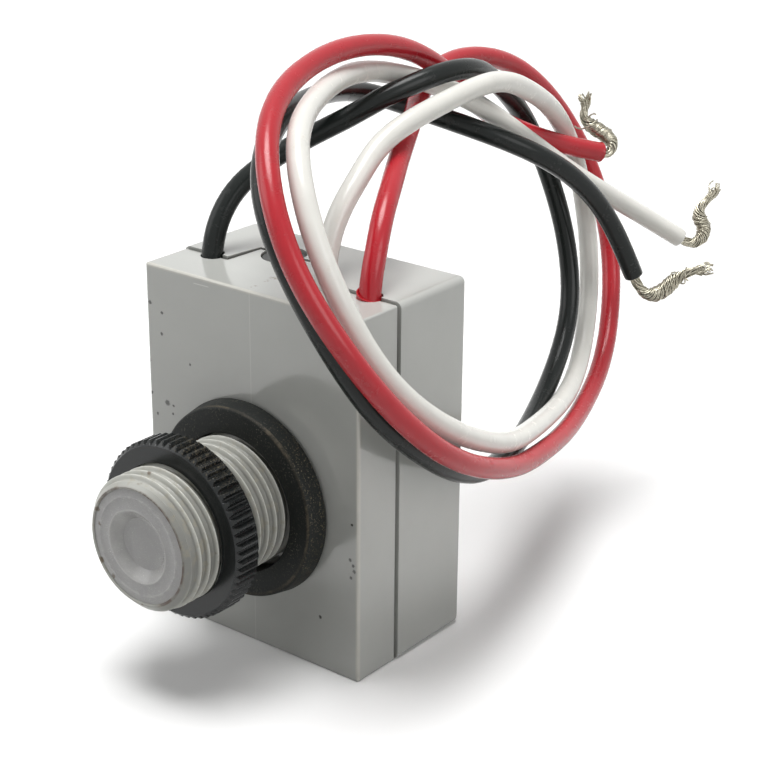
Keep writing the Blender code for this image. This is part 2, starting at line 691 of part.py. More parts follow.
def make_gasket():
    """Loose rubber washer, a little off the nipple's axis, with its front edge rounded off."""
    back = SEAT_GAP
    front = back + GASKET_THICKNESS
    middle = NIPPLE_AXIS + Vector((GASKET_RIGHT, 0, -GASKET_DOWN))
    profile = [
        (GASKET_FRONT_RADIUS - GASKET_EDGE, front),
        (GASKET_FRONT_RADIUS, front - GASKET_EDGE),
        (GASKET_BACK_RADIUS, back + GASKET_EDGE),
        (GASKET_BACK_RADIUS, back),
        (GASKET_BORE_RADIUS, back),
        (GASKET_BORE_RADIUS, front),
    ]
    gasket = turned("gasket", profile, middle, TO_FRONT, parts, ring=True)
    finish(gasket, (0.03, 0.03, 0.03), 0.7)


def make_lock_nut():
    """Ring with a straight knurl, its origin on the thread's axis."""
    half = NUT_THICKNESS / 2
    middle = NIPPLE_AXIS - Vector((0, NIPPLE_LENGTH - NUT_SETBACK - half, 0))
    profile = [
        (NUT_RADIUS - NUT_CHAMFER, half),
        (NUT_RADIUS, half - NUT_CHAMFER),
        (NUT_RADIUS, NUT_CHAMFER - half),
        (NUT_RADIUS - NUT_CHAMFER, -half),
        (THREAD_BORE_RADIUS, -half),
        (THREAD_BORE_RADIUS, half),
    ]
    nut = turned("lock_nut", profile, middle, TO_FRONT, parts, KNURL_TEETH, ring=True)
    groove = math.sqrt(2) * KNURL_DEPTH
    bm = bmesh.new()
    for tooth in range(KNURL_TEETH):
        turn = Matrix.Rotation(2 * math.pi * tooth / KNURL_TEETH, 4, "Z")
        out = Matrix.Translation((NUT_RADIUS, 0, 0))
        corner = Matrix.Rotation(math.radians(45), 4, "Z")
        size = Matrix.Diagonal((groove, groove, NUT_THICKNESS + 2 * CUT_OVERRUN, 1))
        bmesh.ops.create_cube(bm, size=1.0, matrix=turn @ out @ corner @ size)
    cut(nut, mesh_object("knurl_grooves", bm, cutters, middle, TO_FRONT))
    finish(nut, (0.02, 0.02, 0.021), 0.45)


def make_switch_base():
    base = box(
        "switch_base",
        (-BASE_HALF_WIDTH, BASE_FRONT_Y, BASE_LOW_Z),
        (BASE_HALF_WIDTH, BASE_BACK_Y, BASE_HIGH_Z),
        parts,
    )
    pin_hole = PIN_RADIUS + SEAT_GAP
    holes = [
        (pin_hole, -LOWER_POST_X, LOWER_POST_Z),
        (pin_hole, LOWER_POST_X, LOWER_POST_Z),
        (pin_hole, UPPER_POST_X, UPPER_POST_Z),
    ]
    holes += [(RIVET_RADIUS + SEAT_GAP, x, RIVET_Z) for x in LEAD_X.values()]
    wire_hole = CELL_WIRE_RADIUS + SEAT_GAP
    holes += [(wire_hole, NIPPLE_X + side * CELL_WIRE_SPACING / 2, NIPPLE_Z) for side in (-1, 1)]
    wire_hole = ARRESTER_WIRE_RADIUS + SEAT_GAP
    holes += [(wire_hole, ARRESTER_X, ARRESTER_Z + side * ARRESTER_WIRE_SPACING / 2) for side in (-1, 1)]
    holes += [(HEATER_POST_RADIUS + SEAT_GAP, x, heater_z()) for x in heater_posts()]
    for index, (radius, x, z) in enumerate(holes):
        start = (x, BASE_BACK_Y + CUT_OVERRUN, z)
        length = BASE_THICKNESS + 2 * CUT_OVERRUN
        cut(base, cylinder(f"base_hole_{index}", radius, start, length, TO_FRONT, cutters, SMALL_FACETS))
    finish(base, (0.16, 0.08, 0.04), 0.5)


def make_terminal(colour):
    """Crimp barrel under the lead's inner end, with a flat tab riveted to the base."""
    x = LEAD_X[colour]
    top = LEAD_INNER_Z - SEAT_GAP
    tab_back = BASE_FRONT_Y - SEAT_GAP
    barrel_low = top - TERMINAL_BARREL
    terminal = box(
        "terminal_" + colour,
        (x - TAB_WIDTH / 2, tab_back - SHEET, barrel_low - TAB_LENGTH + UNION_SINK),
        (x + TAB_WIDTH / 2, tab_back, barrel_low + UNION_SINK),
        parts,
    )
    barrel = cylinder(
        "barrel_" + colour,
        TERMINAL_BARREL_RADIUS,
        (x, tab_back - TERMINAL_BARREL_RADIUS, barrel_low),
        TERMINAL_BARREL,
        ALONG_Z,
        cutters,
        SMALL_FACETS,
    )
    hole = cylinder(
        "tab_hole_" + colour,
        RIVET_RADIUS + SEAT_GAP,
        (x, tab_back + CUT_OVERRUN, RIVET_Z),
        SHEET + 2 * CUT_OVERRUN,
        TO_FRONT,
        cutters,
        SMALL_FACETS,
    )
    join(terminal, barrel)
    cut(terminal, hole)
    finish(terminal, (0.75, 0.72, 0.66), 0.3, 1.0)


def make_rivet(name, origin, direction, low, high, radius=RIVET_RADIUS, head_radius=RIVET_HEAD_RADIUS):
    """A rivet whose heads close on what lies between two heights, with the seating gap."""
    upper, lower = high + SEAT_GAP, low - SEAT_GAP
    profile = [
        (0, upper + RIVET_HEAD),
        (head_radius * 0.8, upper + RIVET_HEAD),
        (head_radius, upper + RIVET_HEAD / 2),
        (head_radius, upper),
        (radius, upper),
        (radius, lower),
        (head_radius, lower),
        (head_radius, lower - RIVET_HEAD / 2),
        (head_radius * 0.8, lower - RIVET_HEAD),
        (0, lower - RIVET_HEAD),
    ]
    rivet = turned(name, profile, origin, direction, parts, SMALL_FACETS)
    finish(rivet, (0.8, 0.78, 0.74), 0.3, 1.0)


def make_contact_side():
    """Bracket on the black lead's rivet, whose shelf holds the adjusting screw and fixed contact."""
    foot_front = BASE_BACK_Y + SEAT_GAP
    foot_low = RIVET_Z - RIVET_TO_TAB_END
    left = LEAD_X["black"] - TAB_WIDTH / 2
    foot_right = LEAD_X["black"] + TAB_WIDTH / 2
    shelf_right = ADJUSTER_X + SHELF_PAST_ADJUSTER
    shelf_back = foot_front + SHELF_REACH
    bracket = box(
        "contact_bracket",
        (left, foot_front, foot_low),
        (foot_right, foot_front + SHEET, SCREW_SHELF_Z + SHEET),
        parts,
    )
    shelf = box(
        "contact_shelf", (left, foot_front, SCREW_SHELF_Z), (shelf_right, shelf_back, SCREW_SHELF_Z + SHEET), cutters
    )
    rivet_hole = cylinder(
        "contact_rivet_hole",
        RIVET_RADIUS + SEAT_GAP,
        (LEAD_X["black"], foot_front + SHEET + CUT_OVERRUN, RIVET_Z),
        SHEET + 2 * CUT_OVERRUN,
        TO_FRONT,
        cutters,
        SMALL_FACETS,
    )
    screw_hole = cylinder(
        "contact_screw_hole",
        SCREW_RADIUS + SEAT_GAP,
        (ADJUSTER_X, ADJUSTER_Y, SCREW_SHELF_Z - CUT_OVERRUN),
        SHEET + 2 * CUT_OVERRUN,
        ALONG_Z,
        cutters,
        SMALL_FACETS,
    )
    join(bracket, shelf)
    cut(bracket, rivet_hole, screw_hole)
    finish(bracket, (0.72, 0.55, 0.25), 0.3, 1.0)

    moving_top = blade_top() + SEAT_GAP + CONTACT_HEIGHT
    fixed_low = moving_top + SEAT_GAP
    fixed_top = fixed_low + CONTACT_HEIGHT
    screw_end = fixed_top + SEAT_GAP
    head_low = SCREW_SHELF_Z + SHEET + SCREW_HEAD_LIFT
    head_top = head_low + SCREW_HEAD
    shank = 1.0 * MM
    bore = shank + SEAT_GAP
    bore_radius = CONTACT_SHANK_RADIUS + SEAT_GAP
    profile = [
        (0, head_top),
        (SCREW_HEAD_RADIUS, head_top),
        (SCREW_HEAD_RADIUS, head_low),
        (SCREW_RADIUS, head_low),
        (SCREW_RADIUS, screw_end),
        (bore_radius, screw_end),
        (bore_radius, screw_end + bore),
        (0, screw_end + bore),
    ]
    axis = (ADJUSTER_X, ADJUSTER_Y, 0)
    screw = turned("adjusting_screw", profile, axis, ALONG_Z, parts, ROUND_FACETS)
    slot_half = SCREW_SLOT / 2
    slot = box(
        "screw_slot",
        (ADJUSTER_X - SCREW_HEAD_RADIUS - CUT_OVERRUN, ADJUSTER_Y - slot_half, head_top - SCREW_SLOT),
        (ADJUSTER_X + SCREW_HEAD_RADIUS + CUT_OVERRUN, ADJUSTER_Y + slot_half, head_top + CUT_OVERRUN),
        cutters,
    )
    cut(screw, slot)
    finish(screw, (0.78, 0.76, 0.72), 0.3, 1.0)

    contact = turned(
        "fixed_contact",
        [
            (0, screw_end + shank),
            (CONTACT_SHANK_RADIUS, screw_end + shank),
            (CONTACT_SHANK_RADIUS, fixed_top),
            (CONTACT_RADIUS, fixed_top),
            (CONTACT_RADIUS, fixed_low),
            (0, fixed_low),
        ],
        axis,
        ALONG_Z,
        parts,
        SMALL_FACETS,
    )
    finish(contact, (0.9, 0.88, 0.84), 0.25, 1.0)


def blade_top():
    return BLADE_Z + BLADE_THICKNESS / 2


def heater_z():
    """The heater lies clear above the head of the rivet that clamps the blade."""
    return blade_top() + SEAT_GAP + RIVET_HEAD + SEAT_GAP + HEATER_RADIUS


def heater_posts():
    """The x of the two posts that the heater's wires reach."""
    left = ADJUSTER_X + SCREW_RADIUS + HEATER_FROM_SCREW + HEATER_POST_RADIUS
    return left, left + HEATER_LENGTH + 2 * (HEATER_WIRE + SEAT_GAP + HEATER_POST_RADIUS)


def make_blade_side():
    """Bracket on the red lead's rivet, with the bimetal blade clamped on its shelf."""
    foot_front = BASE_BACK_Y + SEAT_GAP
    foot_left = LEAD_X["red"] - TAB_WIDTH / 2
    right = LEAD_X["red"] + TAB_WIDTH / 2
    shelf_top = BLADE_Z - BLADE_THICKNESS / 2 - SEAT_GAP
    shelf_low = shelf_top - SHEET
    foot_low = RIVET_Z - RIVET_TO_TAB_END
    bracket = box(
        "blade_bracket", (foot_left, foot_front, foot_low), (right, foot_front + SHEET, shelf_top), parts
    )
    shelf = box(
        "blade_shelf", (BRACKET_INNER_X, foot_front, shelf_low), (right, foot_front + SHELF_REACH, shelf_top), cutters
    )
    rivet_hole = cylinder(
        "blade_foot_hole",
        RIVET_RADIUS + SEAT_GAP,
        (LEAD_X["red"], foot_front + SHEET + CUT_OVERRUN, RIVET_Z),
        SHEET + 2 * CUT_OVERRUN,
        TO_FRONT,
        cutters,
        SMALL_FACETS,
    )
    clamp_hole = cylinder(
        "clamp_hole",
        CONTACT_SHANK_RADIUS + 2 * SEAT_GAP,
        (BLADE_HINGE_X, ADJUSTER_Y, shelf_low - CUT_OVERRUN),
        SHEET + BLADE_THICKNESS + 3 * CUT_OVERRUN,
        ALONG_Z,
        cutters,
        SMALL_FACETS,
    )
    join(bracket, shelf)
    cut(bracket, rivet_hole, clamp_hole)
    finish(bracket, (0.72, 0.55, 0.25), 0.3, 1.0)

    bm = bmesh.new()
    length = BLADE_ROOT_X - BLADE_TIP_X
    middle = (BLADE_ROOT_X + BLADE_TIP_X) / 2 - BLADE_HINGE_X
    size = Matrix.Diagonal((length, BLADE_WIDTH, BLADE_THICKNESS, 1))
    bmesh.ops.create_cube(bm, size=1.0, matrix=Matrix.Translation((middle, 0, 0)) @ size)
    blade = mesh_object("bimetal_blade", bm, parts, (BLADE_HINGE_X, ADJUSTER_Y, BLADE_Z))
    contact_hole = cylinder(
        "contact_hole",
        CONTACT_SHANK_RADIUS + SEAT_GAP,
        (ADJUSTER_X, ADJUSTER_Y, BLADE_Z - CUT_OVERRUN),
        2 * CUT_OVERRUN,
        ALONG_Z,
        cutters,
        SMALL_FACETS,
    )
    cut(blade, clamp_hole, contact_hole)
    finish(blade, (0.7, 0.66, 0.6), 0.3, 1.0)

    contact_low = blade_top() + SEAT_GAP
    shank_end = BLADE_Z - BLADE_THICKNESS / 2 - SEAT_GAP
    contact = turned(
        "moving_contact",
        [
            (0, contact_low + CONTACT_HEIGHT),
            (CONTACT_RADIUS, contact_low + CONTACT_HEIGHT),
            (CONTACT_RADIUS, contact_low),
            (CONTACT_SHANK_RADIUS, contact_low),
            (CONTACT_SHANK_RADIUS, shank_end),
            (0, shank_end),
        ],
        (ADJUSTER_X, ADJUSTER_Y, 0),
        ALONG_Z,
        parts,
        SMALL_FACETS,
    )
    finish(contact, (0.9, 0.88, 0.84), 0.25, 1.0)
    make_rivet(
        "blade_rivet",
        (BLADE_HINGE_X, ADJUSTER_Y, 0),
        ALONG_Z,
        shelf_low,
        blade_top(),
        CONTACT_SHANK_RADIUS,
        CONTACT_RADIUS,
    )


def make_heater():
    """Wire-ended heater that lies over the blade between two posts on the base."""
    left, right = heater_posts()
    middle = (left + right) / 2
    half_body = HEATER_LENGTH / 2
    half_wire = half_body + HEATER_WIRE
    cap = 0.3 * MM
    profile = [
        (0, half_wire),
        (HEATER_WIRE_RADIUS, half_wire),
        (HEATER_WIRE_RADIUS, half_body),
        (HEATER_RADIUS - cap, half_body),
        (HEATER_RADIUS, half_body - cap),
        (HEATER_RADIUS, cap - half_body),
        (HEATER_RADIUS - cap, -half_body),
        (HEATER_WIRE_RADIUS, -half_body),
        (HEATER_WIRE_RADIUS, -half_wire),
        (0, -half_wire),
    ]
    heater = turned("heater_resistor", profile, (middle, ADJUSTER_Y, heater_z()), ALONG_X, parts, ROUND_FACETS)
    finish(heater, (0.75, 0.73, 0.68), 0.6)
    for name, x in (("heater_post_left", left), ("heater_post_right", right)):
        end = ADJUSTER_Y + HEATER_POST_RADIUS
        length = end - BASE_FRONT_Y
        post = cylinder(name, HEATER_POST_RADIUS, (x, end, heater_z()), length, TO_FRONT, parts, SMALL_FACETS)
        finish(post, (0.8, 0.7, 0.45), 0.3, 1.0)


def make_arrester():
    """Surge arrester: a coated disc on edge, with two wires through the base."""
    rim_y = BASE_BACK_Y + ARRESTER_STANDOFF
    centre = Vector((ARRESTER_X, rim_y + ARRESTER_RADIUS, ARRESTER_Z))
    half = ARRESTER_THICKNESS / 2
    edge = 0.7 * MM
    profile = [
        (0, half),
        (ARRESTER_RADIUS - edge, half),
        (ARRESTER_RADIUS, half - edge),
        (ARRESTER_RADIUS, edge - half),
        (ARRESTER_RADIUS - edge, -half),
        (0, -half),
    ]
    arrester = turned("surge_arrester", profile, centre, ALONG_X, parts, 32)
    for name, side in (("arrester_wire_low", -1), ("arrester_wire_high", 1)):
        start = (ARRESTER_X, centre.y, ARRESTER_Z + side * ARRESTER_WIRE_SPACING / 2)
        length = centre.y - BASE_FRONT_Y - SEAT_GAP
        join(arrester, cylinder(name, ARRESTER_WIRE_RADIUS, start, length, TO_FRONT, cutters, 10))
    finish(arrester, (0.1, 0.2, 0.45), 0.4)


def make_lead(colour, paint):
    """One lead's insulation from the terminal to the stripped end, then its bare twisted strands."""
    route = smooth_route([Vector(point) * MM for point in ROUTES[colour]], LEAD_STEP)
    lead = wire("lead_" + colour, route, LEAD_RADIUS, parts)
    finish(lead, paint, 0.35)
    heading = (route[-1] - route[-2]).normalized()
    start = route[-1] + heading * SEAT_GAP
    neck = start + heading * STRAND_RADIUS
    bare = [start, (start + neck) / 2, *(neck + Vector(point) * MM for point in STRAND_ROUTES[colour])]
    strands = wire("strands_" + colour, smooth_route(bare, STRAND_RADIUS), STRAND_RADIUS, parts, 1)
    finish(strands, (0.5, 0.47, 0.42), 0.4, 1.0)


clear_scene()
parts = new_collection("photocell_switch")
cutters = new_collection("cutters")
carrier = bpy.data.objects.new("footprint_middle", None)
parts.objects.link(carrier)
carrier.location = (0, -FRONT_TO_BACK_CENTRE, 0)

lead_holes = [lead_hole(colour) for colour in LEAD_X]
plug_opening = plug_hole()
make_front_housing(lead_holes, plug_opening)
make_rear_housing(lead_holes, plug_opening)
make_plug()
make_lens()
make_cell_holder()
make_photocell()
make_gasket()
make_lock_nut()
make_switch_base()
for colour in LEAD_X:
    make_terminal(colour)
base_axis = (BASE_BACK_Y, TO_FRONT)
tab_front = BASE_FRONT_Y - SEAT_GAP - SHEET
bracket_back = BASE_BACK_Y + SEAT_GAP + SHEET
for colour, back in (("black", bracket_back), ("white", BASE_BACK_Y), ("red", bracket_back)):
    make_rivet("rivet_" + colour, (LEAD_X[colour], 0, RIVET_Z), TO_FRONT, -back, -tab_front)
make_contact_side()
make_blade_side()
make_heater()
make_arrester()
make_lead("black", (0.02, 0.022, 0.025))
make_lead("white", (0.78, 0.76, 0.72))
make_lead("red", (0.45, 0.012, 0.02))
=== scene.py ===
"""Photocell switch: the look of every surface, laid over the fixed frame.

A grey two-shell box with a threaded nipple, a clear lens, a rubber gasket and a knurled lock nut. Three
stiff building wires leave its top and run twice round one coil to their bare, twisted ends.
"""

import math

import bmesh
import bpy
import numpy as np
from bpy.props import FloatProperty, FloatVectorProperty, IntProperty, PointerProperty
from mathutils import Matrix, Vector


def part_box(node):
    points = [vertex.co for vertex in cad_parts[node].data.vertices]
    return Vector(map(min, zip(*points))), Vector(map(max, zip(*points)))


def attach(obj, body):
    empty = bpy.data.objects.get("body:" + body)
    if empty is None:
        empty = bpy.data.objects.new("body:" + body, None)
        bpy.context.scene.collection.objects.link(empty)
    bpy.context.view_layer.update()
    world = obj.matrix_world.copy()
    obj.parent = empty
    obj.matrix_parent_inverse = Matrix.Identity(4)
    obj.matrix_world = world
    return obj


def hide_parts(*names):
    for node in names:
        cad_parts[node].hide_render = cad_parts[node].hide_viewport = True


bl_info = {
    "name": "Photocell switch",
    "version": (1, 0, 0),
    "blender": (4, 5, 0),
    "location": "View3D > Sidebar > Photocell",
    "description": "Dresses the packed photocell switch and sets it on a pale floor",
    "category": "Object",
}

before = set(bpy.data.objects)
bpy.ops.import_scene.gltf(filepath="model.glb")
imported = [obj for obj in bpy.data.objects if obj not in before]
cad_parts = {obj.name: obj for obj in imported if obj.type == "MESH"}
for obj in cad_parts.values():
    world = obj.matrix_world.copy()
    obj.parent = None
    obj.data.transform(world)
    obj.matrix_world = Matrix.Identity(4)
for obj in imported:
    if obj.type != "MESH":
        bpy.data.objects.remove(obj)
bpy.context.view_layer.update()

MM = 0.001
BODY = "switch"
NUT_BODY = "lock_nut"

# Places read from the frame
LENS_LOW, LENS_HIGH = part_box("lens")
FRONT_LOW, FRONT_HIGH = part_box("front_housing")
REAR_LOW, REAR_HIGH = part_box("rear_housing")
GASKET_LOW, GASKET_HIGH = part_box("gasket")
NUT_LOW, NUT_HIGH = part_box("lock_nut")
PLUG_LOW, PLUG_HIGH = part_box("adjuster_plug")
SEAT_GAP = 0.3 * MM
NIPPLE_X = (LENS_LOW.x + LENS_HIGH.x) / 2
NIPPLE_Z = (LENS_LOW.z + LENS_HIGH.z) / 2
FRONT_Y = GASKET_HIGH.y + SEAT_GAP
NIPPLE_LENGTH = FRONT_Y - FRONT_LOW.y
NIPPLE_ROOT = (NIPPLE_X, FRONT_Y, NIPPLE_Z)
FORWARD = (0, -1, 0)
UPWARD = (0, 0, 1)
PLUG_X = (PLUG_LOW.x + PLUG_HIGH.x) / 2
PLUG_Y = (PLUG_LOW.y + PLUG_HIGH.y) / 2

# The three leads: where each crosses the parting line, and its route from the terminal to the
# stripped end, in millimetres from the front face's bottom middle.
LEAD_X = {"black": -15.5 * MM, "white": 7.5 * MM, "red": 16.0 * MM}
ROUTES = {
    "black": [
        (-15.5, 8.8, 50), (-15.5, 8.8, 55), (-15.5, 9.2, 60), (-15.3, 11.1, 64.9), (-14.3, 14.7, 69.2),
        (-12.6, 18, 71.8), (-10.2, 21.7, 74.3), (-7.2, 25, 76.6), (-3.8, 28.6, 79), (-0.6, 32.8, 81.6),
        (2.1, 37.6, 83.5), (3.5, 43, 84.4), (3.7, 48.7, 84.1), (2.5, 55, 82.4), (0.9, 61.7, 79),
        (-0.7, 73.6, 69.4), (1.2, 78.1, 59.6), (4.9, 78.6, 48.7), (8.5, 75.2, 37), (11.4, 67.1, 29.6),
        (15.6, 55.1, 25.9), (20.5, 42.2, 25.5), (24.1, 30, 26.6), (26.6, 18.2, 30.5), (27.3, 7.9, 37),
        (25.5, -1.3, 46), (21.7, -7.2, 57), (16, -9.3, 67.7), (9, -6.3, 77.3), (3, 2.6, 82.7),
        (-2, 13.7, 83.6), (-7.2, 28, 82.4), (-8.9, 41.6, 79.1), (-3.8, 50.6, 75), (5.1, 56.8, 71.3),
        (11.3, 66.5, 65.1), (14.6, 76.1, 55.3), (18, 81, 43.7),
    ],
    "white": [
        (7.5, 8.9, 50), (7.5, 8.9, 54.5), (7.4, 9.1, 58.8), (7, 10.3, 64), (6.8, 13.2, 69),
        (6.5, 18, 73.2), (6.3, 22.8, 76.7), (6.9, 30, 79.6), (7.8, 37.4, 81.3), (8.9, 49.3, 82.6),
        (7.4, 61.1, 79), (4.3, 74.5, 72), (3.1, 83.2, 62.3), (4.5, 85.7, 51), (7.4, 83.3, 39),
        (11.4, 75.6, 30.2), (16.1, 64.7, 27.2), (20.6, 52, 27.7), (24.5, 40.2, 29.6), (27.8, 28.7, 32.3),
        (29.7, 16.8, 37.4), (30, 6.7, 43.7), (27.8, -2, 52.5), (23.6, -6.9, 64), (17.8, -6.7, 74.8),
        (10.8, -0.8, 83), (4.6, 9.7, 85.9), (-0.5, 22.2, 86.5), (-2.7, 34.3, 85.2), (0, 44.8, 81.8),
        (1.6, 55.8, 76.4), (4.6, 65.1, 69.6), (8.7, 75.2, 61.7), (12.5, 86.2, 54.4), (18.5, 95.7, 47.2),
    ],
    "red": [
        (16, 8.8, 50), (16, 8.8, 55), (15.9, 9.2, 60), (15.3, 11.2, 65), (13.7, 14.7, 69),
        (11, 20, 71.8), (7.5, 26.3, 74), (3.5, 33.8, 76.4), (-0.9, 41.5, 78), (-4.7, 48.7, 79.9),
        (-7, 56, 81.5), (-7.2, 66, 81.7), (-6, 77.5, 78), (-4, 87.7, 69.5), (-0.6, 93.6, 58.5),
        (4, 94.3, 46), (8.6, 89.2, 34.5), (13, 80, 27), (17.5, 67.7, 24), (22, 54.7, 24),
        (25.7, 42.7, 25.6), (29, 30.2, 28.2), (31.5, 18.2, 32.6), (32.4, 6.3, 39.2), (30.4, -3.5, 48.5),
        (26, -9.8, 59), (19, -11.8, 70.2), (11.6, -8, 80.4), (5, 0.6, 86.4), (0.4, 13, 89.7),
        (-1.4, 27, 90.5), (-1.6, 39.5, 88.1), (-1.9, 51.6, 81.8), (-1.2, 62.5, 73.5), (3.7, 71.9, 68),
        (9, 82.4, 64.3),
    ],
}

# Bare ends, in millimetres from just past each stripped end
STRAND_ROUTES = {
    "black": [
        (0, 0, 0), (1.2, 0.4, -1.6), (2.6, 1.7, -2.3), (3.8, 3.3, -1.5), (5.1, 5.0, 0.2), (6.7, 6.3, 1.5),
        (8.4, 7.6, 2.0), (10.3, 9.0, 1.8),
    ],
    "white": [
        (0, 0, 0), (1.1, 1.2, -0.4), (1.9, 2.6, 0.5), (1.8, 3.4, 2.1), (1.0, 3.2, 3.7), (0.6, 3.6, 5.2),
        (1.1, 4.8, 6.6), (1.8, 6.2, 7.8), (2.4, 7.6, 9.1),
    ],
    "red": [
        (0, 0, 0), (0.3, 1.4, 0.6), (-0.6, 2.0, 2.0), (-2.0, 1.2, 3.3), (-3.5, 0.1, 4.5), (-4.6, -0.5, 6.0),
        (-4.8, 0.2, 7.5), (-5.2, 0.8, 8.8), (-5.6, 1.1, 10.1),
    ],
}
ROUTE_ORIGIN = Vector((0, FRONT_Y, 0))

# The curl of insulation at the red lead's hole: radius and height round its tilted axis, in millimetres
COLLAR_PROFILE = [
    (1.5, 0.0), (1.7, 0.32), (1.86, 0.36), (1.95, 0.28), (1.9, 0.1), (1.8, -0.2), (1.74, -1.1), (1.5, -1.1),
]
COLLAR_AXIS = (0.36, -0.06, 1.0)

# How far across a groove's half its flank begins and ends, for the thread and the knurl
THREAD_FLANK = (0.04, 0.5)
KNURL_FLANK = (0.18, 0.92)
# The thread's rows to a pitch and facets round, and the turns that keep its phase above zero
THREAD_ROWS = 26
THREAD_FACETS = 150
WHOLE_TURNS = 4
# The knurl's facets to a tooth
FACETS_A_TOOTH = 10

# The gasket's radius at its back, and how much less it is at its front
GASKET_RADIUS = 15.85 * MM
GASKET_TAPER = 0.45 * MM

# The lens's face from its middle outward: radius and depth, in millimetres. The dish ends at its
# rim, 5.75 from the middle, and a faint ring runs round outside it.
LENS_PROFILE = [
    (0, 1.38), (2.0, 1.4), (3.6, 1.48), (4.05, 1.4), (4.3, 1.15), (5.3, 0.3), (5.55, 0.08), (5.75, 0),
    (5.95, 0.04), (6.2, 0.1), (7.5, 0.12), (7.7, 0.06), (7.9, 0.12), (8.45, 0.16),
]
OUTER_RING = 7.7 * MM

# The camera, from the edges of the box in the photograph
CAMERA_PLACE = Vector((181.065, -198.736, 151.815)) * MM
CAMERA_TURN = math.radians(38.2456)
CAMERA_HEIGHT = math.radians(21.8303)
CAMERA_ROLL = math.radians(0.4194)
CAMERA_LENS = 90.695

# How far the tongue's end stands above the top
TONGUE_RISE = 0.25 * MM

# Where the lights stand, from the shadows on the floor and the box
KEY_FROM = (-0.03, 0.0, 1.0)
SIDE_FROM = (1.0, -0.1, 0.5)
FILL_PLACE = (-0.36, -0.3, 0.3)
FILL_AIM = (0, 0, 0.04)
FILL_SIZE = 0.35
FLOOR_SIZE = 2.5


def length_property(name, description, millimetres):
    default = millimetres * MM
    return FloatProperty(name=name, description=description, default=default, unit="LENGTH", precision=5)


def colour_property(name, description, colour):
    return FloatVectorProperty(name=name, description=description, default=colour, size=3, subtype="COLOR")


class HousingLook(bpy.types.PropertyGroup):
    """Sizes and colours of the two shells"""

    front_depth: length_property("Front depth", "Depth of the front shell", 8.85)
    wall: length_property("Wall", "Thickness of the front shell's wall", 2.0)
    rear_wall: length_property("Rear wall", "Thickness of the rear shell's wall", 2.4)
    front_edge: length_property("Front edge", "Radius of the front shell's edges", 0.35)
    rear_edge: length_property("Rear edge", "Radius of the rear shell's edges", 1.1)
    seam: length_property("Seam", "Gap between the shells", 0.45)
    tongue_left: length_property("Tongue left", "Left side of the tongue over the adjuster", -11.2)
    tongue_right: length_property("Tongue right", "Right side of the tongue over the adjuster", 3.0)
    tongue_reach: length_property("Tongue reach", "How far the tongue reaches past the front shell", 6.7)
    tongue_flare: length_property("Tongue flare", "How much wider the tongue is at its root", 1.0)
    lead_hole: length_property("Lead hole", "Radius of the holes that the leads leave by", 1.92)
    colour: colour_property("Colour", "Grey of the moulded shells", (0.465, 0.472, 0.447))


class NippleLook(bpy.types.PropertyGroup):
    """Sizes of the threaded nipple and its lens"""

    crest_radius: length_property("Crest radius", "Radius of the thread's crests", 10.65)
    depth: length_property("Thread depth", "Depth of the thread", 0.75)
    pitch: length_property("Pitch", "Distance from crest to crest", 25.4 / 14)
    lead_in: length_property("Lead-in", "Chamfer at the nipple's tip", 1.35)
    start: FloatProperty(name="Start", description="Where on its turn the thread starts", default=0.1)
    seat_radius: length_property("Lens seat", "Radius of the seat round the lens", 8.95)
    bore_radius: length_property("Bore", "Radius of the bore behind the lens", 7.6)
    colour: colour_property("Colour", "Grey of the nipple", (0.465, 0.468, 0.43))


class NutLook(bpy.types.PropertyGroup):
    """Sizes and colours of the lock nut and the gasket"""

    teeth: IntProperty(name="Teeth", description="Number of teeth in the knurl", default=64, min=12)
    knurl_depth: length_property("Knurl depth", "Depth of the knurl's grooves", 0.65)
    chamfer: length_property("Chamfer", "Chamfer of the nut's edges", 0.75)
    bore_radius: length_property("Bore", "Radius of the nut's bore", 10.74)
    gasket_right: length_property("Gasket to the right", "How far the loose gasket sits to the right", 0.35)
    gasket_down: length_property("Gasket down", "How far the loose gasket hangs down", 0.25)
    nut_colour: colour_property("Nut colour", "Black of the lock nut", (0.0095, 0.0115, 0.012))
    gasket_colour: colour_property("Gasket colour", "Black of the rubber", (0.0105, 0.0122, 0.0115))


class LeadLook(bpy.types.PropertyGroup):
    """Sizes and colours of the leads and their bare ends"""

    radius: length_property("Radius", "Radius of the insulation", 1.7)
    strand_radius: length_property("Strand radius", "Radius of one copper strand", 0.15)
    bundle_radius: length_property("Bundle radius", "Radius of the twisted strands at the insulation", 0.68)
    bulge: length_property("Bulge", "How much thicker the twist is at its middle", 0.5)
    strands: IntProperty(name="Strands", description="Number of strands", default=20, min=3)
    twist: FloatProperty(name="Twist", description="Turns of the strands along a bare end", default=-2.7)
    fray: length_property("Fray", "How far the strands open at the tip", 0.8)
    black: colour_property("Black", "Black insulation", (0.012, 0.015, 0.014))
    white: colour_property("White", "White insulation", (0.8, 0.79, 0.74))
    red: colour_property("Red", "Red insulation", (0.46, 0.014, 0.024))
    tinned: colour_property("Tinned copper", "Tinned strands", (0.37, 0.35, 0.285))


class StageLook(bpy.types.PropertyGroup):
    """Floor and light"""

    floor: colour_property("Floor", "Colour of the floor as it is seen", (0.93, 0.93, 0.925))
    bounce: colour_property("Bounce", "Colour of the floor as it lights the pieces", (0.41, 0.41, 0.405))
    key: FloatProperty(name="Key light", description="Strength of the soft light overhead", default=3.25)
    softness: FloatProperty(name="Softness", description="Width of the lights", default=0.62, unit="ROTATION")
    side: FloatProperty(name="Side light", description="Strength of the light from the right", default=0.75)
    fill: FloatProperty(name="Fill", description="Power of the lamp at the left", default=0.66, unit="POWER")
    ambient: FloatProperty(name="Ambient", description="Strength of the light from all round", default=0.14)


